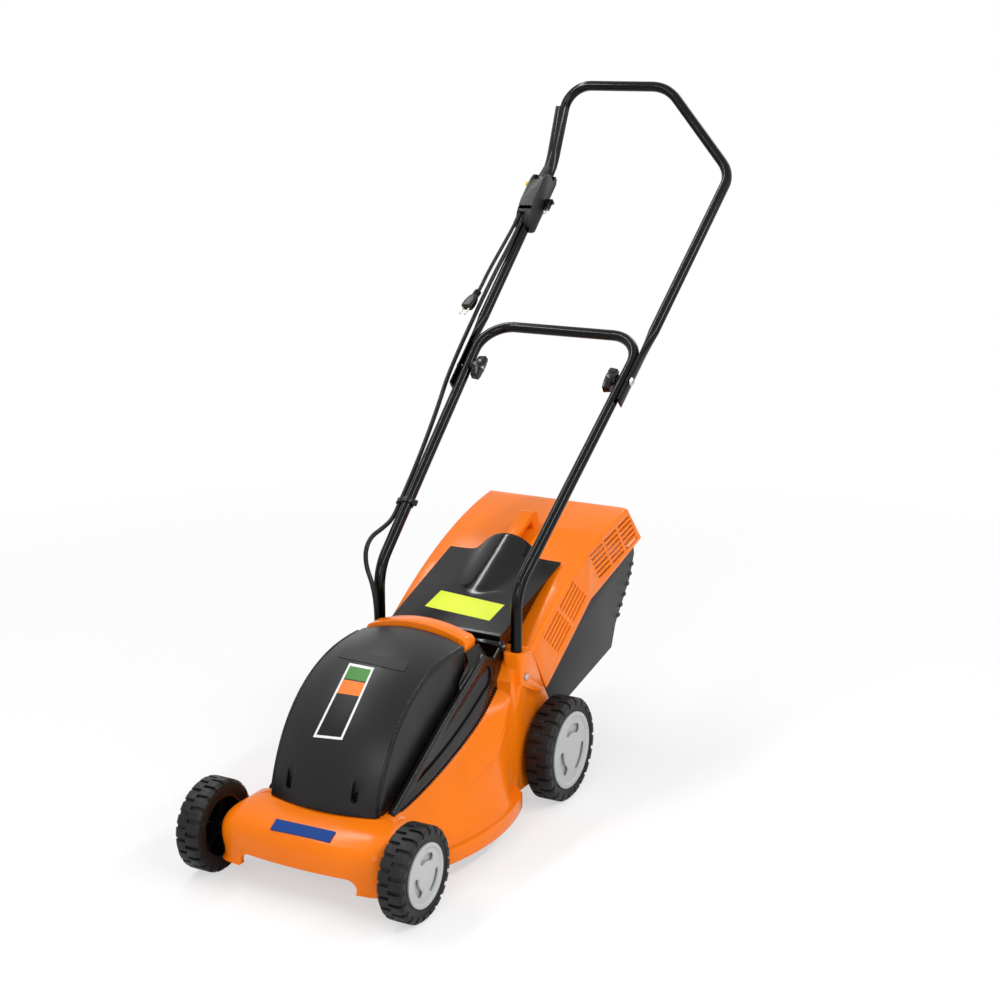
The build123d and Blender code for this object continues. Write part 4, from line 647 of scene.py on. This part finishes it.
class MOWER_OT_cables(bpy.types.Operator):
    """Lay the motor cable and the plug's lead"""

    bl_idname = "mower.cables"
    bl_label = "Cables"

    def execute(self, context):
        sizes = context.scene.mower_trim
        path = spline_points("motor_cable_line", MOTOR_CABLE_ROUTE)
        cable = linked("motor_cable", tube_mesh("motor_cable", path, [sizes.motor_cable / 2] * len(path)))
        cable.data.materials.append(finish("black_pvc_sheath"))
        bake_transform(cable)
        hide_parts("motor_cable_upper", "motor_cable_lower")
        new_piece("motor_cable_relief", relief_mesh("motor_cable_relief", path, sizes.motor_cable / 2),
                  "upper_handle", "black_pvc_sheath")
        path = spline_points("plug_lead_line", PLUG_LEAD_ROUTE)
        lead = new_piece("plug_lead", tube_mesh("plug_lead", path, [sizes.plug_lead / 2] * len(path)),
                         "upper_handle", "black_pvc_sheath")
        plug = dressed("plug_body", "black_pvc_sheath", 0.6)
        painted("plug_pins", "nickelled_brass")
        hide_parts("plug_cord")
        new_piece("plug_lead_relief", relief_mesh("plug_lead_relief", path, sizes.plug_lead / 2),
                  "upper_handle", "black_pvc_sheath")
        return {"FINISHED"}


class MOWER_OT_mouldings(bpy.types.Operator):
    """Dress the deck, hood, cowl and grass box"""

    bl_idname = "mower.mouldings"
    bl_label = "Mouldings"

    def execute(self, context):
        dressed("deck_shell", "polished_orange_abs", 1.6)
        dressed("box_lid", "polished_orange_abs", 1.0)
        dressed("box_body", "grained_grey_polypropylene", 1.2)
        dressed("motor_hood", "grained_black_abs", 2.6, 26)
        dressed("motor_cowl", "smooth_black_abs", 2.8)
        return {"FINISHED"}


class MOWER_OT_flap(bpy.types.Operator):
    """Dress the flap and draw its flowing top skin over the scoop"""

    bl_idname = "mower.flap"
    bl_label = "Flap"

    def execute(self, context):
        dressed("flap", "polished_black_abs", 0.8)
        slope = (FLAP_HIGH[1] - FLAP_LOW[1]) / (FLAP_HIGH[0] - FLAP_LOW[0])
        work = bmesh.new()
        grid = []
        for row in range(FLAP_ROWS + 1):
            y = FLAP_FRONT_Y + FLAP_LENGTH * row / FLAP_ROWS
            share = (y - SCOOP_START_Y) / SCOOP_LENGTH
            opened = max(share, 0)
            half = 22 + 35 * math.sqrt(opened)
            line = []
            for column in range(FLAP_COLUMNS + 1):
                across = 2 * column / FLAP_COLUMNS - 1
                x = across * (FLAP_HALF_WIDTH + FLAP_FLARE * (y - FLAP_FRONT_Y) / FLAP_LENGTH)
                swell = (4 + 24 * opened) * (1 - (x / half) ** 2) + 70 * min(share, 0)
                rise = (swell + math.hypot(swell, 3 + 7 * opened)) / 2
                back = RIM_LEAN * max(0.0, min(1.0, swell / 6)) * max(0.0, (y - RIM_START_Y) / 34) ** 2
                z = FLAP_LOW[1] + (y + back - FLAP_LOW[0]) * slope + 0.5 + rise
                line.append(work.verts.new(from_wheelbase(x, y + back, z)))
            grid.append(line)
        # The front edge rolls over and down.
        edge = [vertex.co.copy() for vertex in grid[0]]
        for turn in FLAP_ROLL_TURNS:
            bend = math.radians(turn)
            shift = Vector((0, -0.45 * FLAP_ROLL * math.sin(bend), -FLAP_ROLL * (1 - math.cos(bend)))) * MM
            grid.insert(0, [work.verts.new(spot + shift) for spot in edge])
        for low, high in zip(grid, grid[1:]):
            for i in range(FLAP_COLUMNS):
                work.faces.new((low[i], low[i + 1], high[i + 1], high[i]))
        mesh = bpy.data.meshes.new("flap_skin")
        work.to_mesh(mesh)
        work.free()
        made = linked("flap_skin_sheet", mesh)
        wall = made.modifiers.new("thickness", "SOLIDIFY")
        wall.thickness = 1.0 * MM
        wall.offset = -1.0
        new_piece("flap_skin", smoothed(plain_mesh(made), 40), "flap", "polished_black_abs")
        return {"FINISHED"}


class MOWER_OT_wheels(bpy.types.Operator):
    """Dress the four wheels"""

    bl_idname = "mower.wheels"
    bl_label = "Wheels"

    def execute(self, context):
        for side in WHEELS:
            dressed(side + "_tyre", "moulded_tyre_polypropylene", 0.9)
            dressed(side + "_rim", "smooth_black_abs", 0.6)
            dressed(side + "_hub_cap", "moulded_grey_cap", 0.5)
            low, high = [Vector(corner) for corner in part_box(side + "_hub_cap")]
            middle = (low + high) / 2
            out = 1.0 if middle.x > 0 else -1.0
            radius = (high.z - low.z) / 2
            inner = low.x if out > 0 else high.x
            work = bmesh.new()
            lines = []
            for share, ahead in CAP_FLOOR_RINGS:
                line = []
                for i in range(CAP_FLOOR_SIDES):
                    turn = 2 * math.pi * i / CAP_FLOOR_SIDES
                    line.append(work.verts.new((inner + out * ahead * MM,
                                                middle.y + share * radius * math.cos(turn),
                                                middle.z + share * radius * math.sin(turn))))
                lines.append(line)
            for outer, nearer in zip(lines, lines[1:]):
                for i in range(CAP_FLOOR_SIDES):
                    beside = (i + 1) % CAP_FLOOR_SIDES
                    work.faces.new((outer[i], outer[beside], nearer[beside], nearer[i]))
            work.faces.new(lines[-1])
            bmesh.ops.recalc_face_normals(work, faces=work.faces)
            if sum(face.normal.x for face in work.faces) * out < 0:
                bmesh.ops.reverse_faces(work, faces=work.faces)
            mesh = bpy.data.meshes.new(side + "_cap_floor")
            work.to_mesh(mesh)
            work.free()
            new_piece(side + "_cap_floor", smoothed(mesh, 40), side + "_wheel",
                      "moulded_grey_cap")
        return {"FINISHED"}


class MOWER_OT_films(bpy.types.Operator):
    """Lay the plate, the sticker, the band and the label"""

    bl_idname = "mower.films"
    bl_label = "Films"

    def execute(self, context):
        def one_colour(u, v):
            return 0

        def label_colour(u, v):
            if min(u, 1 - u) < 0.08 or min(v, 1 - v) < 0.035:
                return 0
            if v < 0.2:
                return 1
            return 2 if 0.22 < v < 0.4 else 3

        laid_film("front_plate", "deck_shell", FRONT_PLATE_CORNERS, ["blue_vinyl"],
                  one_colour, 1.2, (24, 6), True)
        laid_film("flap_sticker", "flap", FLAP_STICKER_CORNERS, ["lime_vinyl"],
                  one_colour, 0.8, (12, 8))
        laid_film("hood_band", "motor_hood", HOOD_BAND_CORNERS, ["matt_grey_vinyl"],
                  one_colour, 0.9, (24, 6))
        laid_film("hood_label", "motor_hood", HOOD_LABEL_CORNERS,
                  ["white_vinyl", "green_vinyl", "orange_vinyl", "black_vinyl"], label_colour, 0.4, (26, 60))
        return {"FINISHED"}


class MOWER_OT_edges(bpy.types.Operator):
    """Run the hood's beads, the creases of the deck's flanks and the teeth under the cowl"""

    bl_idname = "mower.edges"
    bl_label = "Edges"

    def execute(self, context):
        sizes = context.scene.mower_trim
        hood = surface_of("motor_hood")
        for side, name in ((-1, "hood_bead_right"), (1, "hood_bead_left")):
            path = []
            middle = from_wheelbase(side * HOOD_EDGE_X, *HOOD_MIDDLE)
            for turn in range(2, 91, 3):
                way = Vector((0, -math.cos(math.radians(turn)), math.sin(math.radians(turn))))
                spot, _, _, _ = hood.ray_cast(middle + way * 0.5, -way)
                if spot is None:
                    raise RuntimeError("no hood edge at %d degrees" % turn)
                path.append(spot)
            new_piece(name, tube_mesh(name, path, [HOOD_BEAD_MM * MM] * len(path), 12), "deck",
                      "polished_black_abs")
        deck = surface_of("deck_shell")
        crease = [seen_at(deck, *spot) for spot in FLANK_CREASE]
        crease = spline_points("flank_crease_line",
                               [spot - normal * CREASE_SUNK_MM * MM for spot, normal in crease])
        swell = []
        for i in range(len(crease)):
            from_end = min(i, len(crease) - 1 - i)
            swell.append(CREASE_MM * MM * min(1.0, 0.35 + 3 * from_end / len(crease)))
        for side, name in ((1, "flank_crease_left"), (-1, "flank_crease_right")):
            path = [Vector((side * spot.x, spot.y, spot.z)) for spot in crease]
            new_piece(name, tube_mesh(name, path, swell, 16), "deck", "polished_orange_abs")
        teeth = teeth_tree()
        for side, name in ((-1, "cowl_teeth_left"), (1, "cowl_teeth_right")):
            spots = []
            for y in range(TEETH_FROM_Y, TEETH_TO_Y, 4):
                spot, _, _, _ = deck.ray_cast(from_wheelbase(side * TEETH_X, y, 420), Vector((0, 0, -1)))
                spots.append(spot)
            mesh = bpy.data.meshes.new("cowl_edge")
            mesh.from_pydata(spots, [(i, i + 1) for i in range(len(spots) - 1)], [])
            new_piece(name, grown(name, mesh, teeth, pitch=sizes.tooth_pitch, tooth_size=sizes.tooth_size,
                                  finish=finish("smooth_black_abs")), "deck")
        return {"FINISHED"}


class MOWER_OT_box_trim(bpy.types.Operator):
    """Set the ribs on the tub and the fins behind the lid's louvres"""

    bl_idname = "mower.box_trim"
    bl_label = "Box trim"

    def execute(self, context):
        sizes = context.scene.mower_trim
        bars = bars_tree()
        tub = surface_of("box_body")
        spots = []
        widths = []
        for step in range(TUB_RIBS):
            behind = from_wheelbase(0, 700, TUB_RIB_LOW_Z + TUB_RIB_PITCH * step)
            wall, _, _, _ = tub.ray_cast(behind, Vector((0, -1, 0)))
            beside, _, _, _ = tub.ray_cast(wall + Vector((0.4, -0.006, 0)), Vector((-1, 0, 0)))
            spots.append(wall - Vector((0, 0.0015, 0)))
            widths += (2 * beside.x + 2 * MM, 1.0, 1.0)
        mesh = spots_mesh("tub_rib_spots", spots, [0.0] * len(widths), widths)
        bar = (1.0, *[side * MM for side in TUB_RIB_SECTION])
        new_piece("tub_ribs", grown("tub_ribs", mesh, bars, bar_size=bar,
                                    finish=finish("grained_grey_polypropylene")), "grass_box")
        lid = surface_of("box_lid")
        for name, middle, slope, columns, pitch, length, lean in LOUVRE_GROUPS:
            cosine, sine = math.cos(math.radians(slope)), math.sin(math.radians(slope))

            def on_skirt(out, along, down):
                return from_wheelbase(out, middle[0] + cosine * along + sine * down,
                                      middle[1] + sine * along - cosine * down)

            spots = []
            turns = []
            for side in (-1, 1):
                tilt = Matrix.Rotation(math.radians(LOUVRE_FIN_TILT) * side, 3, "Y")
                turn = (Matrix.Rotation(math.radians(slope), 3, "X") @ tilt).to_euler()
                for column in range(columns):
                    for row in range(LOUVRE_ROWS):
                        down = LOUVRE_PITCH * (row - 2.5)
                        shift = pitch * (column - (columns - 1) / 2) + lean * down
                        reach = []
                        for end in (-0.5, 0, 0.5):
                            land = on_skirt(side * 200, shift + end * length, down - LOUVRE_PITCH / 2)
                            wall, _, _, _ = lid.ray_cast(land, Vector((-side, 0, 0)))
                            if wall is not None:
                                reach.append(wall.x * side)
                        if not reach:
                            raise RuntimeError("no skirt beside louvre row %d" % row)
                        sunk = Vector((side * (min(reach) - LOUVRE_FIN_SUNK_MM * MM), 0, 0))
                        spots.append(on_skirt(0, shift, down - 2.5) + sunk)
                        turns += turn
            mesh = spots_mesh("louvre_spots", spots, turns, [1.0] * len(turns))
            bar = (sizes.fin_depth, (length + 4) * MM, LOUVRE_FIN_MM * MM)
            new_piece(name, grown(name, mesh, bars, bar_size=bar, finish=finish("polished_orange_abs")),
                      "grass_box")
        return {"FINISHED"}


class MOWER_OT_handles(bpy.types.Operator):
    """Dress the handle tubes, the switch group and the joint"""

    bl_idname = "mower.handles"
    bl_label = "Handles"

    def execute(self, context):
        dressed("lower_handle", "gloss_black_enamel", 0)
        dressed("upper_handle", "gloss_black_enamel", 0)
        dressed("left_knob", "smooth_black_abs", 0.8)
        dressed("right_knob", "smooth_black_abs", 0.8)
        dressed("switch_box_front", "grained_black_abs", 1.2)
        dressed("switch_box_rear", "grained_black_abs", 1.2)
        dressed("switch_lever", "smooth_black_abs", 0.6)
        dressed("lock_button", "yellow_abs", 0.6)
        dressed("cord_hook", "smooth_black_abs", 0.5)
        dressed("cable_clip", "smooth_black_abs", 0.4)
        dressed("handle_bolts", "zinc_plated_steel", 0.4)
        dressed("socket_screws", "zinc_plated_steel", 0.4)
        dressed("deck_grommet", "black_pvc_sheath", 0.6)
        return {"FINISHED"}


class MOWER_OT_works(bpy.types.Operator):
    """Give the hidden works their metals and plastics"""

    bl_idname = "mower.works"
    bl_label = "Works"

    def execute(self, context):
        for node in ("motor_screws", "lower_bearing", "upper_bearing", "motor_shaft", "blade",
                     "blade_bolt", "front_axle", "rear_axle", "axle_caps", "hinge_pin", "flap_spring",
                     "switch_box_screws", "lever_pin", "hook_loop"):
            painted(node, "zinc_plated_steel")
        # The hood's screws get steel darkened as painted shade of the recess they sit in.
        painted("hood_screws", "blackened_steel")
        for node in ("motor_can", "blade_adapter"):
            painted(node, "motor_casing_steel")
        for node in ("stator", "rotor_core"):
            painted(node, "lamination_steel")
        for node in ("cooling_fan", "microswitch"):
            painted(node, "smooth_black_abs")
        return {"FINISHED"}


class MOWER_PT_panel(bpy.types.Panel):
    """Sidebar list of the mower's steps"""

    bl_idname = "MOWER_PT_panel"
    bl_label = "Mower"
    bl_space_type = "VIEW_3D"
    bl_region_type = "UI"
    bl_category = "Mower"

    def draw(self, context):
        for step in STEPS:
            self.layout.operator(step.bl_idname)


STEPS = (MOWER_OT_stage, MOWER_OT_cables, MOWER_OT_mouldings, MOWER_OT_flap, MOWER_OT_wheels, MOWER_OT_films,
         MOWER_OT_edges, MOWER_OT_box_trim, MOWER_OT_handles, MOWER_OT_works)
CLASSES = (MowerColours, MowerTrim, *STEPS, MOWER_PT_panel)


def register():
    for made in CLASSES:
        bpy.utils.register_class(made)
    bpy.types.Scene.mower_colours = PointerProperty(type=MowerColours)
    bpy.types.Scene.mower_trim = PointerProperty(type=MowerTrim)


def unregister():
    del bpy.types.Scene.mower_trim
    del bpy.types.Scene.mower_colours
    for made in reversed(CLASSES):
        bpy.utils.unregister_class(made)


def main():
    register()
    for step in STEPS:
        group, call = step.bl_idname.split(".")
        getattr(getattr(bpy.ops, group), call)()
    bpy.context.view_layer.update()


if __name__ == "__main__":
    main()
